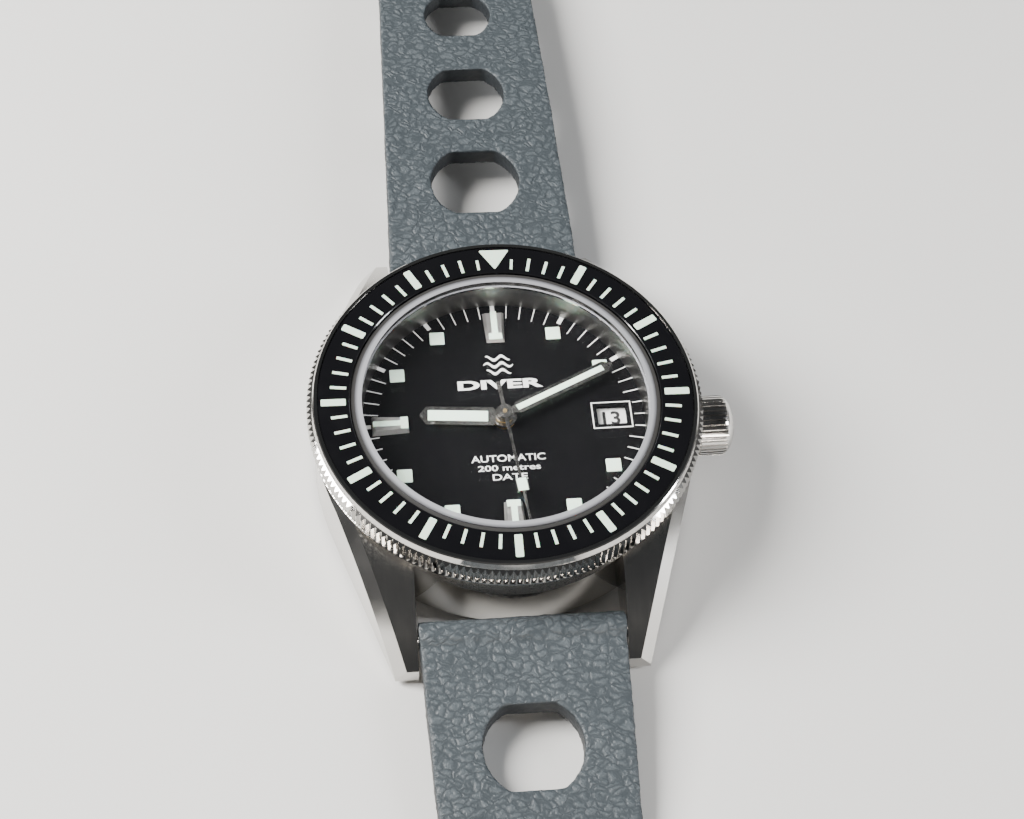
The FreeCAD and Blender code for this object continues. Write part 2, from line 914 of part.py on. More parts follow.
BARREL_TEETH, GREAT_LEAVES, BARREL_MODULE = 84, 12, 0.11
GREAT_TEETH, THIRD_LEAVES, GREAT_MODULE = 80, 10, 0.1
THIRD_TEETH, FOURTH_LEAVES = 75, 10
FOURTH_TEETH, ESCAPE_LEAVES, FOURTH_MODULE = 84, 7, 0.07
CANNON_LEAVES, MINUTE_TEETH, CANNON_MODULE = 12, 36, 0.1
MINUTE_LEAVES, HOUR_TEETH, HOUR_MODULE = 10, 40, 0.096
RATCHET_TEETH, CROWN_WHEEL_TEETH, RATCHET_MODULE = 66, 50, 0.12
WINDING_TEETH = 18
ESCAPE_TEETH = 20
DATE_TEETH = 31

CANNON_PIPE_OUTER = 0.45
HOUR_PIPE_BORE = 0.52
HOUR_PIPE_OUTER = 0.8

THIRD_DIRECTION = 150
BARREL_DIRECTION = 55
ESCAPE_DIRECTION = 235
MINUTE_DIRECTION = -60


def centre_distance(first_teeth, second_teeth, module):
    return (first_teeth + second_teeth) * module / 2


def meeting_point(first, first_reach, second, second_reach):
    """Where two circles cross, on the side further from the dial's centre."""
    dx, dy = second[0] - first[0], second[1] - first[1]
    span = math.hypot(dx, dy)
    along = (first_reach**2 - second_reach**2 + span**2) / (2 * span)
    across = math.sqrt(first_reach**2 - along**2)
    foot = (first[0] + along * dx / span, first[1] + along * dy / span)
    sides = [
        (foot[0] - sign * across * dy / span, foot[1] + sign * across * dx / span) for sign in (-1, 1)
    ]
    return max(sides, key=lambda point: math.hypot(*point))


def heading(start, end):
    return math.degrees(math.atan2(end[1] - start[1], end[0] - start[0]))


CENTRE = (0, 0)
THIRD_DISTANCE = centre_distance(GREAT_TEETH, THIRD_LEAVES, GREAT_MODULE)
THIRD_MODULE = 2 * THIRD_DISTANCE / (THIRD_TEETH + FOURTH_LEAVES)
THIRD = polar(THIRD_DISTANCE, THIRD_DIRECTION)
BARREL = polar(7.57, BARREL_DIRECTION)
GREAT = meeting_point(
    BARREL, centre_distance(BARREL_TEETH, GREAT_LEAVES, BARREL_MODULE), THIRD, THIRD_DISTANCE
)
ESCAPE = polar(centre_distance(FOURTH_TEETH, ESCAPE_LEAVES, FOURTH_MODULE), ESCAPE_DIRECTION)
PALLET = polar(5.2, ESCAPE_DIRECTION)
BALANCE = polar(8.1, ESCAPE_DIRECTION)
MINUTE_POST = polar(centre_distance(CANNON_LEAVES, MINUTE_TEETH, CANNON_MODULE), MINUTE_DIRECTION)
RATCHET_REACH = centre_distance(RATCHET_TEETH, CROWN_WHEEL_TEETH, RATCHET_MODULE)
CROWN_WHEEL_Y = 0
CROWN_WHEEL = (
    BARREL[0] + math.sqrt(RATCHET_REACH**2 - (BARREL[1] - CROWN_WHEEL_Y) ** 2),
    CROWN_WHEEL_Y,
)
BARREL_BRIDGE_FEET = ((9.9, 6.3), (2.2, 11.7))
TRAIN_BRIDGE_FEET = ((-9.8, 5.6), (5.2, -5.5))
COCK_FOOT = (-10.6, -3.4)
PALLET_BRIDGE_FEET = tuple(polar(2.6, ESCAPE_DIRECTION + side, PALLET) for side in (-90, 90))
FOOT_RADIUS = 0.7
ARM_RADIUS = 0.8
LEVER_PIVOT = (11.4, -2.6)
LEVER_PIN = (10.9, -0.54)

PLATE_BASE = float(D["plate_base"])
PLATE_TOP = float(D["plate_top"])
BRIDGE_BASE = float(D["bridge_base"])
BRIDGE_TOP = float(D["bridge_top"])
PIVOT = float(D["pivot_radius"])
PIVOT_HOLE = float(D["pivot_hole"])
JEWEL = float(D["jewel_radius"])
WHEEL = float(D["wheel_thickness"])
ARBOR = float(D["arbor_radius"])

BRIDGE_JEWELS = {
    "third": THIRD,
    "fourth": CENTRE,
    "great": GREAT,
    "escape": ESCAPE,
    "balance": BALANCE,
}
PLATE_JEWELS = {
    "great": (GREAT, 5.62),
    "escape": (ESCAPE, 5.2),
    "pallet": (PALLET, 5.2),
    "balance": (BALANCE, 5.2),
}
BRIDGE_JEWEL_Z = 3.45
SCREW_HEAD = 0.55
SCREW_HOLE = 0.3
SCREW_SHANK = 0.29
SCREW_SEAT_DEPTH = 0.3
SCREW_SLOT_HALF = 0.07
PIVOT_REACH = 0.32
DEEP = 10

# Lower and upper faces of the moving parts, measured from the case back
BARREL_Z = (4.05, 5.0)
BARREL_TEETH_Z = (4.7, 4.92)
MAINSPRING_Z = (4.22, 4.83)
BARREL_CORE_Z = (4.24, 4.8)
RATCHET_Z = (3.76, 3.94)
CONTRATE_Z = (3.9, 4.25)
GREAT_PINION_Z = (4.62, 4.96)
GREAT_WHEEL_Z = (5.16, 5.3)
THIRD_PINION_Z = (5.14, 5.84)
THIRD_WHEEL_Z = (3.9, 4.04)
FOURTH_PINION_Z = (3.84, 4.12)
FOURTH_WHEEL_Z = (4.3, 4.44)
ESCAPE_PINION_Z = (4.22, 4.52)
ESCAPE_WHEEL_Z = (4.7, 4.82)
FORK_Z = (4.72, 4.88)
BALANCE_RIM_Z = (4.15, 4.4)
ROLLER_Z = (4.48, 4.6)
IMPULSE_Z = (4.58, 4.92)
HAIRSPRING_Z = (3.84, 3.94)
DRIVING_WHEEL_Z = (5.66, 5.8)
CANNON_LEAVES_Z = (6.22, 6.48)
MINUTE_WHEEL_Z = (6.27, 6.4)
MINUTE_PINION_Z = (6.4, 6.72)
HOUR_WHEEL_Z = (6.56, 6.7)
DATE_DISC_Z = (6.38, 6.6)
LEVER_Z = (6.2, 6.31)
PALLET_BRIDGE_Z = (4.5, 4.66)
TRAIN_ARBOR_LOW = 3.75


def arbor(centre, low, high, radius=ARBOR, pivot_reach=PIVOT_REACH):
    """A shaft with a thin pivot at each end."""
    thin = disc(PIVOT, low - pivot_reach, high + pivot_reach, centre)
    return disc(radius, low, high, centre).fuse([thin])


BARREL_ARBOR = 0.5
CROWN_WHEEL_STUD = 0.6


# ---------------------------------------------------------------- plates and bridges


def main_plate():
    low = D["plate_base"]
    high = D["plate_top"]
    plate = cylinder("plate_disc", D["movement_radius"], low, high)
    great_recess = GREAT_TEETH * GREAT_MODULE / 2 + D["great_recess_gap"]
    slot_half = D["stem_slot_width"] / 2
    slot_low = (D["stem_slot_start"], -slot_half, low - 1)
    slot_high = (D["stem_slot_end"], slot_half, high + 1)
    edge = D["movement_radius"]
    tools = [
        cylinder("great_recess", great_recess, low - 1, D["great_recess_top"], *GREAT),
        cylinder("driving_recess", D["driving_recess_radius"], D["driving_recess_base"], high + 1),
        cylinder("minute_bridge_seat", D["minute_bridge_radius"], D["minute_bridge_base"], high + 1),
        cylinder("third_hole", D["third_hole"], low - 1, high + 1, *THIRD),
        cylinder("cannon_hole", D["cannon_hole"], low - 1, high + 1),
        cylinder("barrel_pivot_hole", D["barrel_pivot_hole"], low - 1, high + 1, *BARREL),
        box("stem_slot", slot_low, slot_high),
        cylinder_on_x("stem_hole", D["stem_radius"] + 0.06, edge - 1, edge + 1, z=D["stem_z"]),
        cylinder("lever_hole", D["lever_hole"], low - 1, high + 1, *LEVER_PIVOT),
    ]
    for name, (centre, _) in PLATE_JEWELS.items():
        hole = cylinder(f"plate_jewel_hole_{name}", D["jewel_radius"], low - 1, high + 1, *centre)
        tools.append(hole)
    for number, foot in enumerate(SCREW_PLACES):
        hole_top = high - SCREW_SEAT_DEPTH
        tools.append(cylinder(f"plate_screw_hole_{number}", SCREW_HOLE, low - 1, hole_top, *foot))
    return cut("main_plate", plate, tools)


def bridge_blank(arms, discs, feet, low=BRIDGE_BASE, high=BRIDGE_TOP, arm=ARM_RADIUS):
    """A bridge made of round-ended arms and discs, standing on feet."""
    solids = [capsule(start, end, arm, low, high) for start, end in arms]
    solids += [disc(radius, low, high, centre) for centre, radius in discs]
    solids += [disc(FOOT_RADIUS, high, PLATE_BASE, foot) for foot in feet]
    return fused_shape(solids)


def drill_bridge(shape, jewel_centres, feet):
    """Opens the jewel holes and the sunk screw seats of a bridge."""
    low = BRIDGE_BASE - 1
    tools = [disc(JEWEL, low, BRIDGE_TOP + 0.1, centre) for centre in jewel_centres]
    for foot in feet:
        tools.append(disc(SCREW_HEAD + 0.05, low, BRIDGE_BASE + SCREW_SEAT_DEPTH, foot))
        tools.append(disc(SCREW_HOLE, low, PLATE_BASE + 0.1, foot))
    return shape.cut(tools)


def barrel_bridge():
    """The bridge over the barrel, with the stud that the crown wheel turns on."""
    arms = [(BARREL, foot) for foot in BARREL_BRIDGE_FEET]
    barrel_cover = 4.35
    crown_wheel_cover = 2.6
    discs = [(BARREL, barrel_cover), (CROWN_WHEEL, crown_wheel_cover)]
    blank = bridge_blank(arms, discs, BARREL_BRIDGE_FEET)
    stud = disc(CROWN_WHEEL_STUD, BRIDGE_TOP - 0.1, RATCHET_Z[1] + 0.06, CROWN_WHEEL)
    drilled = drill_bridge(blank.fuse([stud]).removeSplitter(), [], BARREL_BRIDGE_FEET)
    arbor_hole = disc(BARREL_ARBOR + 0.06, 0, DEEP, BARREL)
    return shaped("barrel_bridge", drilled.cut(arbor_hole))


def train_bridge():
    far_foot, near_foot = TRAIN_BRIDGE_FEET
    arms = [
        (THIRD, CENTRE),
        (CENTRE, ESCAPE),
        (THIRD, GREAT),
        (THIRD, far_foot),
        (CENTRE, near_foot),
    ]
    rotor_seat = 2.3
    blank = bridge_blank(arms, [(CENTRE, rotor_seat)], TRAIN_BRIDGE_FEET)
    centres = [THIRD, CENTRE, GREAT, ESCAPE]
    return shaped("train_bridge", drill_bridge(blank, centres, TRAIN_BRIDGE_FEET))


def balance_cock():
    jewel_boss, foot_boss = 1.5, 1.2
    discs = [(BALANCE, jewel_boss), (COCK_FOOT, foot_boss)]
    blank = bridge_blank([(BALANCE, COCK_FOOT)], discs, [COCK_FOOT])
    return shaped("balance_cock", drill_bridge(blank, [BALANCE], [COCK_FOOT]))


def pallet_bridge():
    arms = [(PALLET, foot) for foot in PALLET_BRIDGE_FEET]
    blank = bridge_blank(arms, [], PALLET_BRIDGE_FEET, *PALLET_BRIDGE_Z, arm=0.5)
    return shaped("pallet_bridge", blank.cut(disc(PIVOT_HOLE, 0, DEEP, PALLET)))


def minute_train_bridge():
    """The thin plate over the driving wheel, with the minute wheel's post."""
    low = float(D["minute_bridge_base"])
    plate = disc(float(D["minute_bridge_radius"]) - 0.03, low, PLATE_TOP)
    post = disc(ARBOR, low, MINUTE_PINION_Z[1] + 0.02, MINUTE_POST)
    pipe_hole = CANNON_PIPE_OUTER + 0.25
    holes = [disc(pipe_hole, 0, DEEP), disc(PIVOT_HOLE, 0, DEEP, THIRD)]
    return shaped("minute_train_bridge", plate.fuse([post]).cut(holes).removeSplitter())


def jewels():
    """Pierced rubies pressed into the bridges and the plate."""
    thickness = D["jewel_thickness"]
    stones = []
    places = [("bridge", name, centre, BRIDGE_JEWEL_Z) for name, centre in BRIDGE_JEWELS.items()]
    places += [("plate", name, centre, z) for name, (centre, z) in PLATE_JEWELS.items()]
    for side, name, centre, z in places:
        blank = cylinder(f"ruby_{side}_{name}", D["jewel_radius"], z, z + thickness, *centre)
        pierced = cylinder(f"ruby_hole_{side}_{name}", D["pivot_hole"], z - 1, z + 1, *centre)
        stones.append(cut(f"jewel_{side}_{name}", blank, [pierced]))
    return grouped("jewels", stones)


SCREW_PLACES = BARREL_BRIDGE_FEET + TRAIN_BRIDGE_FEET + (COCK_FOOT,)


def bridge_screws():
    """Slotted screws sunk into the bridges and threaded into the plate."""
    screws = []
    base = D["bridge_base"]
    neck = base + SCREW_SEAT_DEPTH
    end = D["plate_top"] - SCREW_SEAT_DEPTH - 0.05
    for number, foot in enumerate(SCREW_PLACES):
        head = cylinder(f"screw_head_{number}", SCREW_HEAD, base + 0.04, neck, *foot)
        shank = cylinder(f"screw_shank_{number}", SCREW_SHANK, neck, end, *foot)
        slot_low = (foot[0] - 1, foot[1] - SCREW_SLOT_HALF, base - 0.1)
        slot_high = (foot[0] + 1, foot[1] + SCREW_SLOT_HALF, base + 0.14)
        slot = box(f"screw_slot_{number}", slot_low, slot_high)
        screws.append(cut(f"screw_{number}", fused(f"screw_blank_{number}", [head, shank]), [slot]))
    return grouped("bridge_screws", screws)


def movement_ring():
    """The ring that holds the movement in the case, notched for the stem."""
    inner = D["movement_radius"] + 0.05
    outer = D["movement_ring_outer"]
    ring = plain_ring("movement_ring_blank", inner, outer, D["movement_ring_base"], D["dial_base"])
    half = D["stem_radius"] + 0.3
    slot_low = (inner - 1, -half, D["stem_z"] - half)
    slot_high = (outer + 1, half, D["stem_z"] + half)
    slot = box("movement_ring_slot", slot_low, slot_high)
    return cut("movement_ring", ring, [slot])


# ---------------------------------------------------------------- going train


BARREL_OUTER = 4.4
BARREL_WALL = 0.2
BARREL_LID = 0.12
MAINSPRING_TURNS = 8
MAINSPRING_STRIP = 0.12
BARREL_CORE = 1.2


def barrel():
    """Toothed drum with the room for the mainspring."""
    low, high = BARREL_Z
    drum = disc(BARREL_OUTER, low, high, BARREL)
    teeth = gear(BARREL_TEETH, BARREL_MODULE, *BARREL_TEETH_Z, BARREL)
    inside = disc(BARREL_OUTER - BARREL_WALL, low + BARREL_LID, high - BARREL_LID, BARREL)
    arbor_hole = disc(BARREL_ARBOR + 0.1, 0, DEEP, BARREL)
    return shaped("barrel", drum.fuse([teeth]).cut([inside, arbor_hole]))


def mainspring():
    inner = BARREL_CORE + 0.2
    outer = BARREL_OUTER - BARREL_WALL - 0.12
    coil = spiral(inner, outer, MAINSPRING_TURNS, MAINSPRING_STRIP, *MAINSPRING_Z, BARREL)
    return shaped("mainspring", coil)


def barrel_arbor():
    core = disc(BARREL_CORE, *BARREL_CORE_Z, BARREL)
    shaft = disc(BARREL_ARBOR, BRIDGE_BASE + 0.2, PLATE_TOP - 0.1, BARREL)
    return shaped("barrel_arbor", core.fuse([shaft]).removeSplitter())


def ratchet_wheel():
    phase = meshing_phase(RATCHET_TEETH, heading(CROWN_WHEEL, BARREL), CROWN_WHEEL_TEETH, 0)
    wheel = gear(RATCHET_TEETH, RATCHET_MODULE, *RATCHET_Z, BARREL, phase)
    return shaped("ratchet_wheel", wheel.cut(disc(BARREL_ARBOR, 0, DEEP, BARREL)))


def crown_wheel():
    """Flat wheel for the ratchet with a raised ring that the winding pinion turns."""
    wheel = gear(CROWN_WHEEL_TEETH, RATCHET_MODULE, *RATCHET_Z, CROWN_WHEEL)
    ring_outer, ring_inner = 2.5, 2.0
    ring = disc(ring_outer, *CONTRATE_Z, CROWN_WHEEL)
    contrate = ring.cut(disc(ring_inner, *CONTRATE_Z, CROWN_WHEEL))
    stud_hole = disc(CROWN_WHEEL_STUD + 0.06, 0, DEEP, CROWN_WHEEL)
    return shaped("crown_wheel", wheel.fuse([contrate]).cut(stud_hole))


RIM_INNER = 3.4
SPOKE_WIDTH = 0.4
SPOKES = 4


def great_wheel():
    phase = meshing_phase(GREAT_LEAVES, heading(BARREL, GREAT), BARREL_TEETH, 0)
    pinion = gear(GREAT_LEAVES, BARREL_MODULE, *GREAT_PINION_Z, GREAT, phase)
    wheel = gear(GREAT_TEETH, GREAT_MODULE, *GREAT_WHEEL_Z, GREAT)
    wheel = spoked(wheel, RIM_INNER, 0.7, *GREAT_WHEEL_Z, GREAT, SPOKES, SPOKE_WIDTH)
    shaft = arbor(GREAT, TRAIN_ARBOR_LOW, 5.5)
    return shaped("great_wheel", fused_shape([shaft, pinion, wheel]))


THIRD_PINION_PHASE = meshing_phase(THIRD_LEAVES, heading(GREAT, THIRD), GREAT_TEETH, 0)


def third_wheel():
    pinion = gear(THIRD_LEAVES, GREAT_MODULE, *THIRD_PINION_Z, THIRD, THIRD_PINION_PHASE)
    wheel = gear(THIRD_TEETH, THIRD_MODULE, *THIRD_WHEEL_Z, THIRD)
    wheel = spoked(wheel, RIM_INNER, 0.6, *THIRD_WHEEL_Z, THIRD, SPOKES, SPOKE_WIDTH)
    shaft = arbor(THIRD, TRAIN_ARBOR_LOW, THIRD_PINION_Z[1], pivot_reach=0.28)
    return shaped("third_wheel", fused_shape([shaft, pinion, wheel]))


def fourth_wheel():
    """The central seconds wheel, whose long arbor carries the second hand."""
    phase = meshing_phase(FOURTH_LEAVES, heading(THIRD, CENTRE), THIRD_TEETH, 0)
    pinion = gear(FOURTH_LEAVES, THIRD_MODULE, *FOURTH_PINION_Z, CENTRE, phase)
    wheel = gear(FOURTH_TEETH, FOURTH_MODULE, *FOURTH_WHEEL_Z)
    wheel = spoked(wheel, 2.55, 0.6, *FOURTH_WHEEL_Z, CENTRE, SPOKES, 0.35)
    shaft = disc(ARBOR, TRAIN_ARBOR_LOW, float(D["second_hand_z"]) + 0.25)
    pivot = disc(PIVOT, TRAIN_ARBOR_LOW - PIVOT_REACH, TRAIN_ARBOR_LOW + 0.01)
    return shaped("fourth_wheel", fused_shape([shaft, pivot, pinion, wheel]))


ESCAPE_TIP = 1.45
ESCAPE_ROOT_SHARE = 0.72


def escape_outline():
    """Club teeth leaning the way the wheel turns."""
    pitch = FULL_TURN / ESCAPE_TEETH
    tooth_shape = (
        (ESCAPE_ROOT_SHARE, 0),
        (ESCAPE_ROOT_SHARE, 0.45),
        (1, 0.78),
        (0.97, 0.95),
    )
    points = []
    for tooth in range(ESCAPE_TEETH):
        for reach, share in tooth_shape:
            points.append(polar(ESCAPE_TIP * reach, (tooth + share) * pitch, ESCAPE))
    return points


def escape_wheel():
    phase = meshing_phase(ESCAPE_LEAVES, heading(CENTRE, ESCAPE), FOURTH_TEETH, 0)
    pinion = gear(ESCAPE_LEAVES, FOURTH_MODULE, *ESCAPE_PINION_Z, ESCAPE, phase)
    wheel = prism(escape_outline(), *ESCAPE_WHEEL_Z)
    wheel = spoked(wheel, 0.85, 0.35, *ESCAPE_WHEEL_Z, ESCAPE, SPOKES, 0.2)
    shaft = arbor(ESCAPE, TRAIN_ARBOR_LOW, 5.0, 0.14)
    return shaped("escape_wheel", fused_shape([shaft, pinion, wheel]))


def pallet_fork():
    """Lever with two stones toward the escape wheel and horns toward the balance."""
    stone_reach, stone_spread = 1.68, 34
    fork_reach = 1.6
    horn_reach, horn_spread = 1.93, 7
    arms = []
    for side in (-stone_spread, stone_spread):
        stone = polar(stone_reach, ESCAPE_DIRECTION + side, ESCAPE)
        arms.append(capsule(PALLET, stone, 0.09, *FORK_Z))
    fork_end = polar(fork_reach, ESCAPE_DIRECTION, PALLET)
    arms.append(capsule(PALLET, fork_end, 0.14, *FORK_Z))
    for side in (-horn_spread, horn_spread):
        horn = polar(horn_reach, ESCAPE_DIRECTION + side, PALLET)
        arms.append(capsule(fork_end, horn, 0.07, *FORK_Z))
    shaft = arbor(PALLET, FORK_Z[0] - 0.02, 5.0, 0.14, 0.2)
    return shaped("pallet_fork", fused_shape([shaft] + arms))


def balance_wheel():
    """Three-armed rim on its staff, with the roller and its impulse jewel."""
    rim_outer, rim_inner, hub, arm_width = 4.25, 3.75, 0.6, 0.35
    rim = disc(rim_outer, *BALANCE_RIM_Z, BALANCE)
    rim = spoked(rim, rim_inner, hub, *BALANCE_RIM_Z, BALANCE, 3, arm_width)
    roller = disc(0.85, *ROLLER_Z, BALANCE)
    jewel_place = polar(0.72, ESCAPE_DIRECTION + 180, BALANCE)
    impulse = disc(0.08, *IMPULSE_Z, jewel_place)
    staff = arbor(BALANCE, TRAIN_ARBOR_LOW, 5.02, 0.15, 0.3)
    return shaped("balance_wheel", fused_shape([staff, rim, roller, impulse]))


def hairspring():
    inner, outer, turns, strip = 0.35, 2.2, 9, 0.04
    return shaped("hairspring", spiral(inner, outer, turns, strip, *HAIRSPRING_Z, BALANCE))


# ---------------------------------------------------------------- motion work and calendar


def cannon_pinion():
    """Pipe that carries the minute hand, with its driving wheel and its leaves."""
    phase = meshing_phase(GREAT_TEETH, heading(THIRD, CENTRE), THIRD_LEAVES, THIRD_PINION_PHASE)
    wheel = gear(GREAT_TEETH, GREAT_MODULE, *DRIVING_WHEEL_Z, CENTRE, phase)
    leaves = gear(CANNON_LEAVES, CANNON_MODULE, *CANNON_LEAVES_Z)
    pipe = disc(CANNON_PIPE_OUTER, DRIVING_WHEEL_Z[0], float(D["minute_hand_z"]) + 0.25)
    bore = disc(ARBOR + 0.06, 0, DEEP)
    return shaped("cannon_pinion", fused_shape([pipe, wheel, leaves]).cut(bore))


MINUTE_PHASE = meshing_phase(MINUTE_TEETH, MINUTE_DIRECTION, CANNON_LEAVES, 0)


def minute_wheel():
    wheel = gear(MINUTE_TEETH, CANNON_MODULE, *MINUTE_WHEEL_Z, MINUTE_POST, MINUTE_PHASE)
    pinion = gear(MINUTE_LEAVES, HOUR_MODULE, *MINUTE_PINION_Z, MINUTE_POST)
    bore = disc(ARBOR + 0.06, 0, DEEP, MINUTE_POST)
    return shaped("minute_wheel", fused_shape([wheel, pinion]).cut(bore))


def hour_wheel():
    phase = meshing_phase(HOUR_TEETH, heading(MINUTE_POST, CENTRE), MINUTE_LEAVES, 0)
    wheel = gear(HOUR_TEETH, HOUR_MODULE, *HOUR_WHEEL_Z, CENTRE, phase)
    pipe = disc(HOUR_PIPE_OUTER, HOUR_WHEEL_Z[0], float(D["hour_hand_z"]) + 0.2)
    bore = disc(HOUR_PIPE_BORE, 0, DEEP)
    return shaped("hour_wheel", fused_shape([pipe, wheel]).cut(bore))


def date_disc():
    """Numeral ring under the dial, with one inner tooth for each day of a long month."""
    outer, root, tip = 12.2, 9.4, 9.1
    low, high = DATE_DISC_Z
    inner = rib_outline(DATE_TEETH, root, tip, 0.3, 0.12)
    return shaped("date_disc", disc(outer, low, high).cut(prism(inner, low - 0.1, high + 0.1)))


# ---------------------------------------------------------------- winding and setting


# Places along the stem, measured from the dial's axis
PILOT_START = 6.75
SQUARE_START = 7.5
CLUTCH_START = 7.85
CLUTCH_END = 9.33
SQUARE_END = 9.35
PINION_START = 9.45
PINION_SEAT_END = 10.35
LEVER_GROOVE_START = 10.6
LEVER_GROOVE_END = 11.2
PILOT_RADIUS = 0.25
SQUARE_HALF = 0.28
PINION_SEAT = 0.44
CLUTCH_RADIUS = 0.8


def winding_stem():
    """Pilot, square, pinion seat, lever groove and long shaft in one piece."""
    stem = D["stem_radius"]
    square_core = SQUARE_HALF - 0.01
    round_part = turned_on_x(
        "stem_turned",
        [
            (PILOT_START, 0),
            (PILOT_START, PILOT_RADIUS),
            (SQUARE_START, PILOT_RADIUS),
            (SQUARE_START, square_core),
            (SQUARE_END, square_core),
            (SQUARE_END, PINION_SEAT),
            (PINION_SEAT_END, PINION_SEAT),
            (PINION_SEAT_END, stem),
            (LEVER_GROOVE_START, stem),
            (LEVER_GROOVE_START, PILOT_RADIUS),
            (LEVER_GROOVE_END, PILOT_RADIUS),
            (LEVER_GROOVE_END, stem),
            (D["stem_end"], stem),
            (D["stem_end"], 0),
        ],
    )
    square_low = (SQUARE_START, -SQUARE_HALF, -SQUARE_HALF)
    square_high = (SQUARE_END, SQUARE_HALF, SQUARE_HALF)
    square = box("stem_square", square_low, square_high)
    return lifted_to_stem(fused("winding_stem", [round_part, square]))


def clutch():
    """Sliding pinion with a square hole and a groove for its yoke."""
    groove_start, groove_end, groove_radius = 8.3, 8.7, 0.6
    body = turned_on_x(
        "clutch_turned",
        [
            (CLUTCH_START, 0),
            (CLUTCH_START, CLUTCH_RADIUS),
            (groove_start, CLUTCH_RADIUS),
            (groove_start, groove_radius),
            (groove_end, groove_radius),
            (groove_end, CLUTCH_RADIUS),
            (CLUTCH_END, CLUTCH_RADIUS),
            (CLUTCH_END, 0),
        ],
    )
    half = SQUARE_HALF + 0.06
    hole = box("clutch_square_hole", (CLUTCH_START - 1, -half, -half), (CLUTCH_END + 1, half, half))
    return lifted_to_stem(cut("clutch", body, [hole]))


def winding_pinion():
    length, module = 0.8, 0.09
    teeth = gear(WINDING_TEETH, module, 0, length)
    blank = teeth.cut(disc(PINION_SEAT + 0.06, -1, length + 1))
    blank.rotate(Vector(0, 0, 0), Vector(0, 1, 0), 90)
    blank.translate(Vector(PINION_START, 0, float(D["stem_z"])))
    return shaped("winding_pinion", blank)


def setting_lever():
    """Bell lever whose pin sits in the stem's groove."""
    low, high = LEVER_Z
    width = 0.3
    nose_end = (LEVER_PIVOT[0] - 2.4, LEVER_PIVOT[1] + 0.2)
    arm = capsule(LEVER_PIVOT, LEVER_PIN, width, low, high)
    nose = capsule(LEVER_PIVOT, nose_end, width, low, high)
    stud = disc(width, PLATE_BASE + 0.3, high, LEVER_PIVOT)
    pin = disc(width / 2, float(D["stem_z"]), high, LEVER_PIN)
    return shaped("setting_lever", fused_shape([arm, nose, stud, pin]))


DOME_STEPS = 10


def crown():
    """Knurled crown with a domed end and a hollow that covers the tube."""
    inner = D["crown_inner_x"]
    end = D["crown_knurl_end"]
    outer = D["crown_outer_x"]
    radius = D["crown_radius"]
    pipe = D["crown_pipe_radius"]
    pipe_start = D["crown_pipe_start"]
    hollow = D["crown_tube_outer"] + 0.15
    floor = inner + D["crown_hollow_depth"]
    stem_end = D["stem_end"] + PRESS_GAP
    stem_bore = D["stem_radius"] + 0.01
    dome_depth = outer - end
    profile = [
        (pipe_start, stem_bore),
        (pipe_start, pipe),
        (floor, pipe),
        (floor, hollow),
        (inner, hollow),
        (inner, radius - 0.25),
        (inner + 0.2, radius),
        (end, radius),
    ]
    for step in range(1, DOME_STEPS):
        turn = math.radians(90 * step / DOME_STEPS)
        profile.append((end + dome_depth * math.sin(turn), radius * math.cos(turn)))
    profile += [(outer, 0), (stem_end, 0), (stem_end, stem_bore)]
    blank = turned_on_x("crown_blank", profile)
    ribs = int(D["crown_ribs"].value)
    groove = float(radius - D["crown_rib_depth"])
    outline = rib_outline(ribs, groove, float(radius) + 0.05, 0.4, 0.2)
    ribbed = prism(outline, pipe_start - 1, outer + 1)
    ribbed.rotate(Vector(0, 0, 0), Vector(0, 1, 0), 90)
    return lifted_to_stem(common("crown", blank, shaped("crown_ribbed", ribbed)))


def crown_gasket():
    """O-ring on the crown's pipe, sliding in the tube."""
    start = D["crown_pipe_start"] + 0.4
    end = start + 0.6
    inner = D["crown_pipe_radius"] + 0.01
    outer = D["crown_tube_bore"] - 0.04
    body = turned_on_x("crown_gasket", [(start, inner), (start, outer), (end, outer), (end, inner)])
    return lifted_to_stem(body)


# ---------------------------------------------------------------- winding rotor


ROTOR_RADIUS = 12.3
ROTOR_RIM_INNER = 10.4
ROTOR_HUB = 2.6
ROTOR_LOW = 1.55
ROTOR_WEB_TOP = 1.85
ROTOR_RIM_TOP = 2.9
ROTOR_HUB_TOP = 2.5
BEARING_OUTER = 1.66
BEARING_INNER = 0.45
BEARING_LOW = 1.72
ROTOR_SCREW_HEAD = 1.0
ROTOR_SCREW_SHANK = 0.43


def rotor():
    """Half-disc with a heavy rim, turning on its ball bearing over the bridges."""
    web = disc(ROTOR_RADIUS, ROTOR_LOW, ROTOR_WEB_TOP)
    rim = disc(ROTOR_RADIUS, ROTOR_LOW, ROTOR_RIM_TOP)
    rim = rim.cut(disc(ROTOR_RIM_INNER, ROTOR_LOW, ROTOR_RIM_TOP))
    reach = ROTOR_RADIUS + 2
    half = Part.makeBox(2 * reach, reach, DEEP, Vector(-reach, 0, 0))
    hub = disc(ROTOR_HUB, ROTOR_LOW, ROTOR_HUB_TOP)
    windows = []
    for start in (41, 131):
        inner_end = polar(5.5, start)
        outer_end = polar(8.2, start + 4)
        windows.append(capsule(inner_end, outer_end, 0.9, 0, DEEP))
    bearing_hole = disc(BEARING_OUTER + 0.06, 0, DEEP)
    blank = fused_shape([web.fuse([rim]).common(half), hub])
    return shaped("rotor", blank.cut(windows + [bearing_hole]))


def rotor_bearing():
    high = D["bridge_base"] - 0.01
    return plain_ring("rotor_bearing", BEARING_INNER, BEARING_OUTER, BEARING_LOW, high)


def rotor_screw():
    under_head = BEARING_LOW - 0.01
    head = cylinder("rotor_screw_head", ROTOR_SCREW_HEAD, under_head - 0.26, under_head)
    shank_end = D["bridge_base"] + 0.4
    shank = cylinder("rotor_screw_shank", ROTOR_SCREW_SHANK, under_head, shank_end)
    return fused("rotor_screw", [head, shank])


# ---------------------------------------------------------------- strap and buckle


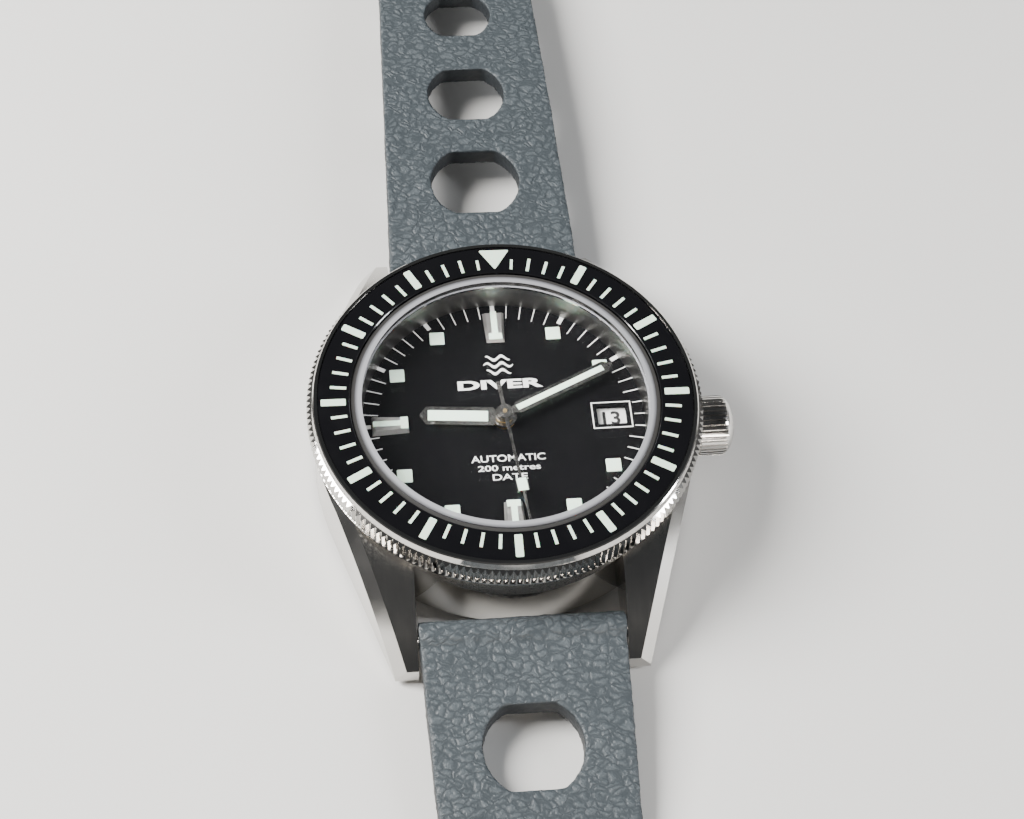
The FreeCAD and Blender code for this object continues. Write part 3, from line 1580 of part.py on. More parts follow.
# Half lengths of a spring bar's tube and of the whole bar
CASE_BAR = (9.7, 11.0)
BUCKLE_BAR = (8.15, 9.4)


def spring_bar(name, y, z, half_tube, half_reach):
    """Spring-loaded bar: a tube with a thin shouldered tip at each end."""
    outer = D["bar_radius"]
    tip = D["bar_tip_radius"]
    profile = [
        (-half_reach, 0),
        (-half_reach, tip),
        (-half_tube, tip),
        (-half_tube, outer),
        (half_tube, outer),
        (half_tube, tip),
        (half_reach, tip),
        (half_reach, 0),
    ]
    body = turned_on_x(name, profile)
    return place(body, (0, y, z))


def strap_strip(points, straight_end=None):
    """Side view of a strap: a strip of even thickness along a curve, solid across its width."""
    half = float(D["strap_thickness"]) / 2
    path = [Vector(0, y, z) for y, z in points]
    curve = Part.BSplineCurve()
    curve.interpolate(path)
    sides = []
    for sign in (1, -1):
        offset_points = []
        for share in range(len(path) * 2 - 1):
            parameter = curve.parameter(path[share // 2])
            if share % 2:
                parameter = (parameter + curve.parameter(path[share // 2 + 1])) / 2
            point = curve.value(parameter)
            along = curve.tangent(parameter)[0]
            normal = Vector(0, -along.z, along.y) * (sign * half)
            offset_points.append(point + normal)
        side = Part.BSplineCurve()
        side.interpolate(offset_points)
        sides.append((side, offset_points[0], offset_points[-1]))
    (upper, upper_start, upper_end), (lower, lower_start, lower_end) = sides
    edges = [upper.toShape(), lower.toShape(), Part.makeLine(upper_start, lower_start)]
    if straight_end is None:
        edges.append(Part.makeLine(upper_end, lower_end))
    else:
        far_upper = Vector(0, straight_end, upper_end.z)
        far_lower = Vector(0, straight_end, lower_end.z)
        edges += [
            Part.makeLine(upper_end, far_upper),
            Part.makeLine(far_upper, far_lower),
            Part.makeLine(far_lower, lower_end),
        ]
    face = Part.Face(Part.Wire(Part.__sortEdges__(edges)))
    width = float(D["strap_width"])
    face.translate(Vector(-width / 2, 0, 0))
    return face.extrude(Vector(width, 0, 0))


def loop_on_x(radius, width, y, z):
    return Part.makeCylinder(radius, width, Vector(-width / 2, y, z), Vector(1, 0, 0))


def strap_plan(sign, far, tip_length):
    """The strap seen from above: tapering from the lugs, then even, with a round or square end."""
    start = float(D["bar_y"]) - float(D["strap_loop_radius"]) - 1
    bend = float(D["bar_y"]) + float(D["strap_taper_length"])
    wide = float(D["strap_width"]) / 2
    narrow = float(D["strap_end_width"]) / 2
    corners = [
        Vector(wide, sign * start, BELOW),
        Vector(wide, sign * float(D["bar_y"]), BELOW),
        Vector(narrow, sign * bend, BELOW),
        Vector(narrow, sign * (far - tip_length), BELOW),
    ]
    left = [Vector(-corner.x, corner.y, corner.z) for corner in reversed(corners)]
    edges = [Part.makeLine(a, b) for a, b in zip(corners, corners[1:])]
    edges += [Part.makeLine(a, b) for a, b in zip(left, left[1:])]
    edges.append(Part.makeLine(left[-1], corners[0]))
    if tip_length:
        tip = Vector(0, sign * far, BELOW)
        edges.append(Part.Arc(corners[-1], tip, left[0]).toShape())
    else:
        edges.append(Part.makeLine(corners[-1], left[0]))
    face = Part.Face(Part.Wire(Part.__sortEdges__(edges)))
    return face.extrude(UP * TALL)


def rally_hole(sign, along, width, length):
    """A large round ventilation hole with its two ends cut straight."""
    y = sign * (float(D["bar_y"]) + along)
    round_hole = Part.makeCylinder(width / 2, TALL, Vector(0, y, BELOW))
    block = Part.makeBox(width, length, TALL, Vector(-width / 2, y - length / 2, BELOW))
    hole = round_hole.common(block)

    def is_corner(edge):
        upright = edge.BoundBox.ZLength > TALL / 2
        return upright and abs(edge.BoundBox.XMin) < width * 0.49

    corners = [edge for edge in hole.Edges if is_corner(edge)]
    return hole.makeFillet(float(D["rally_hole_corner"]), corners)


# Distance from the case's spring bar and width of each ventilation hole
RALLY_HOLES = ((11.6, 9.4), (23.9, 8.3), (36.0, 7.3))


def strap_holes(sign):
    cut_share = float(D["rally_hole_cut"])
    return [rally_hole(sign, along, width, width * cut_share) for along, width in RALLY_HOLES]


# Middle lines of the two halves: distance along the strap, and height above the table
TWELVE_PATH = (
    (21.2, 3.5),
    (28, 4.0),
    (37, 4.35),
    (48, 4.45),
    (58, 4.2),
    (67, 3.75),
    (92, 2.2),
    (97, 1.7),
)
SIX_PATH = (
    (-21.2, 3.5),
    (-25, 3.1),
    (-29, 2.6),
    (-33, 2.1),
    (-37, 1.6),
    (-41, 1.27),
    (-46, 1.12),
    (-50, 1.1),
)
TAIL_HOLES = 8
TAIL_HOLE_RADIUS = 1.0
TAIL_HOLE_PITCH = 6.5
TAIL_HOLE_START = 54
TAIL_TIP_LENGTH = 6
BUCKLE_LOOP_RADIUS = 1.5
NOTCH_WIDTH = 2.8
NOTCH_BACK = 4.7
NOTCH_LENGTH = 8
BELOW = -5
TALL = 20


def strap_twelve():
    """Half with the buckle: a loop at the case and one at the buckle, notched for the tongue."""
    bar = (float(D["bar_y"]), float(D["bar_z"]))
    buckle = (float(D["buckle_y"]), float(D["buckle_z"]))
    strip = strap_strip(TWELVE_PATH)
    width = float(D["strap_width"])
    loops = [
        loop_on_x(float(D["strap_loop_radius"]), width, *bar),
        loop_on_x(BUCKLE_LOOP_RADIUS, width, *buckle),
    ]
    blank = fused_shape([strip] + loops).common(strap_plan(1, buckle[0] + 2, 0))
    bore = float(D["strap_loop_bore"])
    bores = [loop_on_x(bore, width + 2, *end) for end in (bar, buckle)]
    notch_corner = Vector(-NOTCH_WIDTH / 2, buckle[0] - NOTCH_BACK, BELOW)
    notch = Part.makeBox(NOTCH_WIDTH, NOTCH_LENGTH, TALL, notch_corner)
    return shaped("strap_twelve", blank.cut(bores + strap_holes(1) + [notch]))


def strap_six():
    """Long half with the adjustment holes, lying on the table."""
    bar = (-float(D["bar_y"]), float(D["bar_z"]))
    tail = float(D["tail_y"])
    strip = strap_strip(SIX_PATH, straight_end=-tail)
    width = float(D["strap_width"])
    loop = loop_on_x(float(D["strap_loop_radius"]), width, *bar)
    blank = fused_shape([strip, loop]).common(strap_plan(-1, tail, TAIL_TIP_LENGTH))
    holes = strap_holes(-1)
    for number in range(TAIL_HOLES):
        y = bar[0] - TAIL_HOLE_START - number * TAIL_HOLE_PITCH
        holes.append(Part.makeCylinder(TAIL_HOLE_RADIUS, TALL, Vector(0, y, BELOW)))
    bore = loop_on_x(float(D["strap_loop_bore"]), width + 2, *bar)
    return shaped("strap_six", blank.cut(holes + [bore]))


def rounded_block(half_width, near, far, corner, low, high):
    """A box of the plan with rounded vertical edges."""
    block = Part.makeBox(2 * half_width, far - near, high - low, Vector(-half_width, near, low))
    upright = [edge for edge in block.Edges if edge.BoundBox.ZLength > (high - low) / 2]
    return block.makeFillet(corner, upright)


BUCKLE_HALF_WIDTH = 10.4
BUCKLE_OPENING_HALF = 8.3
BUCKLE_BACK = 1.6
BUCKLE_FRONT = 11.4
BUCKLE_BAR_WIDTH = 2.6
BUCKLE_HEIGHT = 2.6
BUCKLE_CORNER = 2.4
BUCKLE_EDGE = 0.5


def buckle_frame():
    """Brushed rectangular loop with rounded corners, hinged on the buckle's spring bar."""
    y, z = float(D["buckle_y"]), float(D["buckle_z"])
    near, far = y - BUCKLE_BACK, y + BUCKLE_FRONT
    outer = rounded_block(BUCKLE_HALF_WIDTH, near, far, BUCKLE_CORNER, 0, BUCKLE_HEIGHT)
    rounded = [edge for edge in outer.Edges if edge.BoundBox.ZLength < 0.01]
    outer = outer.makeFillet(BUCKLE_EDGE, rounded)
    opening_far = far - BUCKLE_BAR_WIDTH
    opening_corner = BUCKLE_CORNER / 2
    opening = rounded_block(BUCKLE_OPENING_HALF, y - 3, opening_far, opening_corner, -1, 4)
    hole_reach = BUCKLE_HALF_WIDTH - 0.8
    holes = loop_on_x(float(D["bar_hole_radius"]), 2 * hole_reach, y, z)
    return shaped("buckle_frame", outer.cut([opening, holes]))


TONGUE_HUB = 1.3
TONGUE_HUB_WIDTH = 2.2
TONGUE_WIDTH = 1.6
TONGUE_LENGTH = 11.6
TONGUE_THICKNESS = 0.7
TONGUE_LIFT = 0.05


def buckle_tongue():
    """Pin that turns on the same bar and rests on the frame."""
    y, z = float(D["buckle_y"]), float(D["buckle_z"])
    half = TONGUE_WIDTH / 2
    rest = BUCKLE_HEIGHT + TONGUE_LIFT
    hub = loop_on_x(TONGUE_HUB, TONGUE_HUB_WIDTH, y, z)
    blade = Part.makeBox(TONGUE_WIDTH, TONGUE_LENGTH, TONGUE_THICKNESS, Vector(-half, y, rest))
    neck = Part.makeBox(TONGUE_WIDTH, 2.4, 1.2, Vector(-half, y - 0.9, z))
    bore = loop_on_x(float(D["strap_loop_bore"]), 2 * TONGUE_HUB_WIDTH, y, z)
    return shaped("buckle_tongue", fused_shape([hub, blade, neck]).cut(bore))


def strap_slope():
    """The fall, in degrees, of the straight stretch of the 12 o'clock half that carries the keepers."""
    (y_start, z_start), (y_end, z_end) = TWELVE_PATH[-3], TWELVE_PATH[-2]
    return math.degrees(math.atan2(z_end - z_start, y_end - y_start))


FIXED_KEEPER_Y = 89.0
SLIDING_KEEPER_Y = 78.0
KEEPER_INNER_HALF = 8.5
KEEPER_CORNER = 0.8
KEEPER_ROOM_BELOW = 0.2
KEEPER_ROOM_ABOVE = 0.35


def keeper(name, y):
    """A leather band round the strap with room for the other half's end."""
    (y_start, z_start), (y_end, z_end) = TWELVE_PATH[-3], TWELVE_PATH[-2]
    z = z_start + (y - y_start) * (z_end - z_start) / (y_end - y_start)
    strap = float(D["strap_thickness"])
    wall = float(D["keeper_wall"])
    width = float(D["keeper_width"])
    low = -strap / 2 - KEEPER_ROOM_BELOW
    high = strap * 1.5 + KEEPER_ROOM_ABOVE
    outer_half = KEEPER_INNER_HALF + wall
    outer_corner = Vector(-outer_half, -width / 2, low - wall)
    outer = Part.makeBox(2 * outer_half, width, high - low + 2 * wall, outer_corner)
    along = [edge for edge in outer.Edges if edge.BoundBox.YLength > width / 2]
    outer = outer.makeFillet(KEEPER_CORNER, along)
    inner_corner = Vector(-KEEPER_INNER_HALF, -width, low)
    inside = Part.makeBox(2 * KEEPER_INNER_HALF, width * 2, high - low, inner_corner)
    band = shaped(name, outer.cut(inside))
    slope = FreeCAD.Rotation(Vector(1, 0, 0), strap_slope())
    band.Placement = FreeCAD.Placement(Vector(0, y, z), slope)
    return band


# ---------------------------------------------------------------- assembly


NODES = [
    case_middle(),
    crown_tube(),
    case_back(),
    case_back_gasket(),
    bezel_ring(),
    bezel_insert(),
    bezel_click_spring(),
    crystal(),
    crystal_gasket(),
    rehaut(),
    dial(),
    dial_indexes(),
    hour_hand(),
    minute_hand(),
    second_hand(),
    main_plate(),
    barrel_bridge(),
    train_bridge(),
    balance_cock(),
    pallet_bridge(),
    minute_train_bridge(),
    jewels(),
    bridge_screws(),
    movement_ring(),
    barrel(),
    mainspring(),
    barrel_arbor(),
    ratchet_wheel(),
    crown_wheel(),
    great_wheel(),
    third_wheel(),
    fourth_wheel(),
    escape_wheel(),
    pallet_fork(),
    balance_wheel(),
    hairspring(),
    cannon_pinion(),
    minute_wheel(),
    hour_wheel(),
    date_disc(),
    winding_stem(),
    clutch(),
    winding_pinion(),
    setting_lever(),
    crown(),
    crown_gasket(),
    rotor(),
    rotor_bearing(),
    rotor_screw(),
    spring_bar("spring_bar_twelve", D["bar_y"], D["bar_z"], *CASE_BAR),
    spring_bar("spring_bar_six", -D["bar_y"], D["bar_z"], *CASE_BAR),
    strap_twelve(),
    strap_six(),
    spring_bar("buckle_spring_bar", D["buckle_y"], D["buckle_z"], *BUCKLE_BAR),
    buckle_frame(),
    buckle_tongue(),
    keeper("fixed_keeper", FIXED_KEEPER_Y),
    keeper("sliding_keeper", SLIDING_KEEPER_Y),
]


def check_document():
    """Stops if a feature failed or a sub-part isn't a sound solid."""
    for item in doc.Objects:
        if {"Invalid", "Error"} & set(item.State):
            raise RuntimeError(f"{item.Name} failed: {item.State}")
    for node in NODES:
        if node.Shape.isNull() or not node.Shape.isValid() or not node.Shape.Solids:
            raise RuntimeError(f"{node.Label} is not a sound solid")


def write_nodes():
    os.makedirs("parts", exist_ok=True)
    for node in NODES:
        node.Shape.exportStep(f"parts/{node.Label}.step")
    print(f"{len(NODES)} nodes written")


doc.recompute()
check_document()
write_nodes()
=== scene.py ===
import json
import math

import bmesh
import bpy
import numpy as np
from mathutils import Matrix, Vector, noise


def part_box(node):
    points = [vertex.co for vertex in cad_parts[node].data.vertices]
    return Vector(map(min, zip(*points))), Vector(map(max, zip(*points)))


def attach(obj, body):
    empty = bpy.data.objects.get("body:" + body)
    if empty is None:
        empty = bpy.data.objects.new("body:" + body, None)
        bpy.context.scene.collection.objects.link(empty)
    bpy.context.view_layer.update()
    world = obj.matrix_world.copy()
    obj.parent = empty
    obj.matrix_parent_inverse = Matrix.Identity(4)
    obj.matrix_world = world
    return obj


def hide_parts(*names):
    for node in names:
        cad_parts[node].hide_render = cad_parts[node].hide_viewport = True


# Dive watch on a pale table. Blender works in metres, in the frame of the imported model: origin at the
# centre of the case back, +X to 3 o'clock, +Y to 12 o'clock, +Z up. Sizes and places below are in mm.

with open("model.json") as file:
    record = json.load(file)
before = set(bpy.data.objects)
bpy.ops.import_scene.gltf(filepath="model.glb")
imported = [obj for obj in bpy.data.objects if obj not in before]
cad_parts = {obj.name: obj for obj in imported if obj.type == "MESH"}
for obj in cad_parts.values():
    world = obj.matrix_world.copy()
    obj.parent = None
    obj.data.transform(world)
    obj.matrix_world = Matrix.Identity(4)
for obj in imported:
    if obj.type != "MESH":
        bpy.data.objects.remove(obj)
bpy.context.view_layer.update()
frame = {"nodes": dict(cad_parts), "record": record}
nodes = frame["nodes"]
MM = 0.001


def top_of(node):
    """Height of a CAD node's highest point, in mm."""
    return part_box(node)[1].z / MM


INSERT_TOP = top_of("bezel_insert")
DIAL_TOP = top_of("dial")
INDEX_TOP = top_of("dial_indexes")
HOUR_TOP = top_of("hour_hand")
MINUTE_TOP = top_of("minute_hand")
SECOND_TOP = top_of("second_hand")
DATE_TOP = top_of("date_disc")


# ---------------------------------------------------------------- camera


def add_camera():
    """A short telephoto view from the 6 o'clock side, a little left and rolled."""
    aim = Vector((0.43, -1.51, INSERT_TOP)) * MM
    distance = 0.2151
    elevation = math.radians(56.04)
    azimuth = math.radians(9.47)
    roll = math.radians(4.95)
    forward = Vector(
        (
            math.sin(azimuth) * math.cos(elevation),
            math.cos(azimuth) * math.cos(elevation),
            -math.sin(elevation),
        )
    )
    level_right = forward.cross(Vector((0, 0, 1))).normalized()
    level_up = level_right.cross(forward)
    right = math.cos(roll) * level_right + math.sin(roll) * level_up
    up = right.cross(forward)
    turn = Matrix((right, up, -forward)).transposed().to_4x4()
    data = bpy.data.cameras.new("camera")
    data.lens = 78.4
    data.sensor_width = 36
    data.clip_start = 0.01
    camera = bpy.data.objects.new("camera", data)
    camera.matrix_world = Matrix.Translation(aim - forward * distance) @ turn
    bpy.context.scene.collection.objects.link(camera)
    bpy.context.scene.camera = camera


add_camera()


# ---------------------------------------------------------------- material building blocks


# Nearly all values of a noise texture lie between these.
NOISE_LOW, NOISE_HIGH = 0.3, 0.7
# A Mix node's sockets share their names across data types, so they are picked by place.
MIX_NUMBERS, MIX_NUMBER_RESULT = (2, 3), 0
MIX_COLOURS, MIX_COLOUR_RESULT = (6, 7), 2
FINE_RELIEF = 0.004


def shade(tint, share):
    return [part * share for part in tint]


class Surface:
    """A Principled material with short calls for the nodes that the surfaces share."""

    def __init__(self, name, **settings):
        self.material = bpy.data.materials.new(name)
        self.material.use_nodes = True
        self.tree = self.material.node_tree
        self.shader = self.tree.nodes["Principled BSDF"]
        for key, value in settings.items():
            self.shader.inputs[key.replace("_", " ")].default_value = value

    def node(self, kind, **inputs):
        made = self.tree.nodes.new(kind)
        for key, value in inputs.items():
            self.feed(made.inputs[key.replace("_", " ")], value)
        return made

    def feed(self, socket, value):
        """Gives a socket another node's output, or a plain value."""
        if isinstance(value, bpy.types.NodeSocket):
            self.tree.links.new(value, socket)
        else:
            socket.default_value = value

    def link(self, output, name):
        self.tree.links.new(output, self.shader.inputs[name])

    def position(self, scale=(1, 1, 1)):
        """Object coordinates in millimetres, stretched by scale."""
        place = self.node("ShaderNodeTexCoord").outputs["Object"]
        mapping = self.node("ShaderNodeMapping", Vector=place)
        mapping.inputs["Scale"].default_value = [1000 * part for part in scale]
        return mapping.outputs["Vector"]

    def rings(self, stretch):
        """Coordinates that are even round the dial's axis, for circular graining."""
        place = self.node("ShaderNodeSeparateXYZ", Vector=self.position())
        radius_2d = self.node("ShaderNodeCombineXYZ", X=place.outputs["X"], Y=place.outputs["Y"])
        length = self.node("ShaderNodeVectorMath", Vector=radius_2d.outputs["Vector"])
        length.operation = "LENGTH"
        angle = self.math("ARCTAN2", place.outputs["Y"], place.outputs["X"])
        slow = self.math("MULTIPLY", angle, stretch)
        joined = self.node(
            "ShaderNodeCombineXYZ", X=length.outputs["Value"], Y=slow, Z=place.outputs["Z"]
        )
        return joined.outputs["Vector"]

    def math(self, operation, first, second):
        made = self.tree.nodes.new("ShaderNodeMath")
        made.operation = operation
        for socket, value in zip(made.inputs, (first, second)):
            self.feed(socket, value)
        return made.outputs["Value"]

    def noise(self, vector, scale, detail=3.0, roughness=0.5):
        made = self.node(
            "ShaderNodeTexNoise", Vector=vector, Scale=scale, Detail=detail, Roughness=roughness
        )
        return made.outputs["Fac"]

    def spread(self, value, low, high, source_low=0.0, source_high=1.0):
        """A value moved from its source range to low..high."""
        made = self.node("ShaderNodeMapRange", Value=value)
        made.inputs["From Min"].default_value = source_low
        made.inputs["From Max"].default_value = source_high
        made.inputs["To Min"].default_value = low
        made.inputs["To Max"].default_value = high
        return made.outputs["Result"]

    def vary(self, noise_value, low, high):
        """A noise value moved to low..high."""
        return self.spread(noise_value, low, high, NOISE_LOW, NOISE_HIGH)

    def cell_walls(self, vector, scale, width):
        """0 on the walls between irregular cells and 1 inside them."""
        cells = self.node("ShaderNodeTexVoronoi", Vector=vector, Scale=scale)
        cells.feature = "DISTANCE_TO_EDGE"
        ramp = self.node("ShaderNodeMapRange", Value=cells.outputs["Distance"])
        ramp.interpolation_type = "SMOOTHSTEP"
        ramp.inputs["From Max"].default_value = width
        return ramp.outputs["Result"]

    def blend(self, share, first, second):
        """Colour between first and second by share."""
        made = self.tree.nodes.new("ShaderNodeMix")
        made.data_type = "RGBA"
        self.tree.links.new(share, made.inputs["Factor"])
        for place, value in zip(MIX_COLOURS, (first, second)):
            is_socket = isinstance(value, bpy.types.NodeSocket)
            self.feed(made.inputs[place], value if is_socket else (*value, 1))
        return made.outputs[MIX_COLOUR_RESULT]

    def mix(self, share, first, second):
        """Number between first and second by share."""
        made = self.node("ShaderNodeMix", Factor=share)
        for place, value in zip(MIX_NUMBERS, (first, second)):
            self.feed(made.inputs[place], value)
        return made.outputs[MIX_NUMBER_RESULT]

    def colour(self, share, first, second):
        self.link(self.blend(share, first, second), "Base Color")

    def bump(self, height, strength, distance, under=None):
        """A normal that follows a height of up to distance, on top of the normal under it."""
        made = self.node("ShaderNodeBump", Height=height, Strength=strength)
        made.inputs["Distance"].default_value = distance * MM
        if under is not None:
            self.tree.links.new(under, made.inputs["Normal"])
        return made.outputs["Normal"]

    def facing_up(self, low, high):
        """0 on sides and 1 on faces that look up, between two cosines."""
        normal = self.node("ShaderNodeNewGeometry").outputs["Normal"]
        up = self.node("ShaderNodeSeparateXYZ", Vector=normal).outputs["Z"]
        return self.spread(up, 0.0, 1.0, low, high)


def polished_metal(name, tint, roughness=0.07):
    """Mirror metal with faint wipe marks and hairline scratches."""
    surface = Surface(name, Metallic=1.0)
    wipe = surface.noise(surface.position(), 0.35, 4)
    lines = surface.noise(surface.position((0.4, 6, 3)), 2.2, 5, 0.65)
    surface.colour(wipe, shade(tint, 0.92), tint)
    surface.link(surface.vary(wipe, roughness * 0.7, roughness * 1.6), "Roughness")
    surface.link(surface.bump(lines, 0.12, FINE_RELIEF), "Normal")
    return surface.material


def satin_metal(name, tint, roughness):
    """Metal with an even, fine, blasted grain."""
    surface = Surface(name, Metallic=1.0)
    grain = surface.noise(surface.position((3, 3, 3)), 0.6, 6, 0.7)
    patches = surface.noise(surface.position(), 0.25, 3)
    surface.colour(grain, shade(tint, 0.78), tint)
    local = surface.vary(grain, -0.08, 0.1)
    overall = surface.spread(patches, roughness, roughness + 0.06)
    surface.link(surface.math("ADD", local, overall), "Roughness")
    surface.link(surface.bump(grain, 0.15, 0.01), "Normal")
    return surface.material


def ring_brushed_metal(name, tint):
    """Metal with graining that runs round the dial's axis."""
    surface = Surface(name, Metallic=1.0)
    grain = surface.noise(surface.rings(0.6), 9, 5, 0.7)
    surface.colour(grain, shade(tint, 0.8), tint)
    surface.link(surface.vary(grain, 0.2, 0.4), "Roughness")
    surface.link(surface.bump(grain, 0.3, 2 * FINE_RELIEF), "Normal")
    return surface.material


def spun_metal(name, tint, roughness):
    """Metal turned on a lathe: its highlights stretch into streaks that point at the dial's axis."""
    surface = Surface(name, Metallic=1.0, Anisotropic=0.75)
    grain = surface.noise(surface.rings(0.5), 7, 5, 0.7)
    surface.colour(grain, shade(tint, 0.8), tint)
    surface.link(surface.vary(grain, roughness - 0.06, roughness + 0.08), "Roughness")
    surface.link(surface.bump(grain, 0.15, FINE_RELIEF), "Normal")
    around = surface.node("ShaderNodeTangent")
    around.direction_type = "RADIAL"
    around.axis = "Z"
    surface.link(around.outputs["Tangent"], "Tangent")
    return surface.material


def case_metal():
    """Steel with a faint grain along the lugs on top, and mirror polished on the bevels and flanks."""
    tint = (0.60, 0.585, 0.56)
    surface = Surface("case_steel", Metallic=1.0)
    top = surface.facing_up(0.78, 0.84)
    grain = surface.noise(surface.position((30, 0.45, 0.45)), 0.7, 6, 0.7)
    wipe = surface.noise(surface.position(), 0.3, 4)
    wear = surface.noise(surface.position((1.2, 5, 3)), 1.4, 5, 0.7)
    surface.colour(grain, shade(tint, 0.95), tint)
    brushed = surface.vary(grain, 0.17, 0.26)
    polished = surface.vary(wipe, 0.07, 0.15)
    surface.link(surface.mix(top, polished, brushed), "Roughness")
    grooves = surface.math("MULTIPLY", grain, top)
    scuffs = surface.math("MULTIPLY", wear, 0.12)
    surface.link(surface.bump(surface.math("ADD", grooves, scuffs), 0.03, FINE_RELIEF), "Normal")
    return surface.material


def gloss_black():
    """Glazed black insert with faint ring graining and dust-fine specks."""
    surface = Surface("bezel_black", Coat_Weight=1.0, Coat_Roughness=0.03)
    speck = surface.noise(surface.position(), 14, 3)
    wipe = surface.noise(surface.position(), 0.4, 3)
    glaze, dust = (0.0032, 0.0032, 0.004), (0.012, 0.012, 0.014)
    surface.colour(surface.spread(speck, 0, 1, 0.68, 0.78), glaze, dust)
    surface.link(surface.vary(wipe, 0.1, 0.24), "Roughness")
    surface.link(surface.bump(surface.noise(surface.rings(0.8), 5, 3), 0.05, FINE_RELIEF), "Normal")
    return surface.material


def dial_black():
    """Matte black lacquer with a very fine tooth."""
    surface = Surface("dial_black", Specular_IOR_Level=0.03)
    tooth = surface.noise(surface.position(), 26, 4, 0.6)
    cloud = surface.noise(surface.position(), 0.5, 3)
    surface.colour(cloud, (0.0022, 0.0022, 0.0026), (0.0048, 0.0048, 0.0052))
    surface.link(surface.vary(tooth, 0.38, 0.6), "Roughness")
    surface.link(surface.bump(tooth, 0.25, FINE_RELIEF), "Normal")
    return surface.material


def luminous():
    """Pale green-cream luminous paint with a sandy grain."""
    surface = Surface("lume", Specular_IOR_Level=0.3, Subsurface_Weight=0.15, Subsurface_Scale=0.0002)
    sand = surface.noise(surface.position(), 16, 4, 0.65)
    tone = surface.noise(surface.position(), 0.9, 2)
    warm = surface.blend(tone, (0.70, 0.86, 0.69), (0.76, 0.90, 0.75))
    surface.colour(surface.spread(sand, 0, 1, 0.3, 0.75), (0.58, 0.74, 0.60), warm)
    surface.link(surface.spread(sand, 0.45, 0.7), "Roughness")
    surface.link(surface.bump(sand, 0.4, 0.01), "Normal")
    return surface.material


def printed(name, ink):
    """Pad-printed ink, a little uneven in cover."""
    surface = Surface(name, Specular_IOR_Level=0.4)
    cover = surface.noise(surface.position(), 9, 3)
    surface.colour(cover, shade(ink, 0.82), ink)
    surface.link(surface.spread(cover, 0.35, 0.55), "Roughness")
    surface.link(surface.bump(cover, 0.2, FINE_RELIEF), "Normal")
    return surface.material


GRAIN_SIDE = "grain_side"
CRYSTAL_CLEAR_RADIUS = 13.95
# Painted shade: the ground rim's colour darkens from the first radius to the second, towards the
# crystal's edge.
RIM_PAINTED_SHADE_FROM, RIM_PAINTED_SHADE_DARKEST = CRYSTAL_CLEAR_RADIUS + 0.35, CRYSTAL_CLEAR_RADIUS + 0.7


def sapphire():
    """Clear crystal that bends the view and lets lamps through, with a ground rim whose outer part is
    painted darker as shade.
    """
    surface = Surface("crystal_glass", IOR=1.76, Specular_IOR_Level=0.2)
    radius = surface.node("ShaderNodeSeparateXYZ", Vector=surface.rings(0.5)).outputs["X"]
    ground = surface.spread(radius, 0.0, 1.0, CRYSTAL_CLEAR_RADIUS, CRYSTAL_CLEAR_RADIUS + 0.03)
    smear = surface.spread(surface.noise(surface.position(), 0.3, 3), 0.0, 0.012, 0.45, 0.75)
    # Painted shade: the ground grey turns nearly black towards the rim's edge.
    rim = surface.spread(radius, 0.0, 1.0, RIM_PAINTED_SHADE_FROM, RIM_PAINTED_SHADE_DARKEST)
    frost_grey_into_painted_shade = surface.blend(rim, (0.29, 0.295, 0.315), (0.05, 0.05, 0.055))
    surface.colour(ground, (0.985, 0.99, 1.0), frost_grey_into_painted_shade)
    surface.link(surface.math("MAXIMUM", smear, surface.math("MULTIPLY", ground, 0.42)), "Roughness")
    surface.link(surface.spread(ground, 1.0, 0.15), "Transmission Weight")
    let_lamps_through(surface)
    return surface.material


def let_lamps_through(surface):
    """Shadow rays pass the surface as if it weren't there."""
    shadow = surface.node("ShaderNodeLightPath").outputs["Is Shadow Ray"]
    clear = surface.node("ShaderNodeBsdfTransparent")
    choice = surface.node("ShaderNodeMixShader", Fac=shadow)
    surface.feed(choice.inputs[1], surface.shader.outputs["BSDF"])
    surface.feed(choice.inputs[2], clear.outputs["BSDF"])
    output = surface.tree.nodes["Material Output"]
    surface.feed(output.inputs["Surface"], choice.outputs["Shader"])


def plain_plastic(name, tint, roughness):
    """Dull moulded rubber or plastic."""
    surface = Surface(name)
    grain = surface.noise(surface.position(), 6, 4)
    surface.colour(grain, shade(tint, 0.85), tint)
    surface.link(surface.spread(grain, roughness - 0.1, roughness + 0.1), "Roughness")
    surface.link(surface.bump(grain, 0.2, 0.01), "Normal")
    return surface.material


def ruby():
    """Clear red synthetic stone."""
    surface = Surface("ruby", IOR=1.76, Transmission_Weight=0.6)
    cloud = surface.noise(surface.position(), 3, 2)
    surface.colour(cloud, (0.45, 0.01, 0.05), (0.75, 0.04, 0.12))
    surface.link(surface.spread(cloud, 0.05, 0.12), "Roughness")
    return surface.material


def grown_position(surface, place):
    """Coordinates pulled about by a slow noise and slanted, so that cells on them look grown."""
    swirl = surface.node("ShaderNodeTexNoise", Vector=place, Scale=0.6, Detail=3.0)
    pull = surface.node("ShaderNodeVectorMath", Vector=swirl.outputs["Color"])
    pull.operation = "SCALE"
    pull.inputs["Scale"].default_value = 1.7
    pulled = surface.node("ShaderNodeVectorMath", Vector=pull.outputs["Vector"])
    pulled.operation = "ADD"
    surface.feed(pulled.inputs[1], place)
    slanted = surface.node("ShaderNodeMapping", Vector=pulled.outputs["Vector"])
    slanted.inputs["Rotation"].default_value = (0, 0, math.radians(35))
    slanted.inputs["Scale"].default_value = (0.8, 1.25, 1.0)
    return slanted.outputs["Vector"]


def hide_height(surface, place):
    """Pebbles with creases between them, finer wrinkles and a slow swell."""
    grown = grown_position(surface, place)
    creases = surface.cell_walls(grown, 1.15, 0.34)
    wrinkles = surface.math("ADD", surface.cell_walls(grown, 2.1, 0.32), 1.7)
    uneven = surface.math("ADD", surface.noise(place, 0.5, 2), 0.35)
    pebbles = surface.math("MULTIPLY", creases, surface.math("MULTIPLY", wrinkles, uneven))
    return surface.math("ADD", pebbles, surface.noise(grown, 1.3, 2))


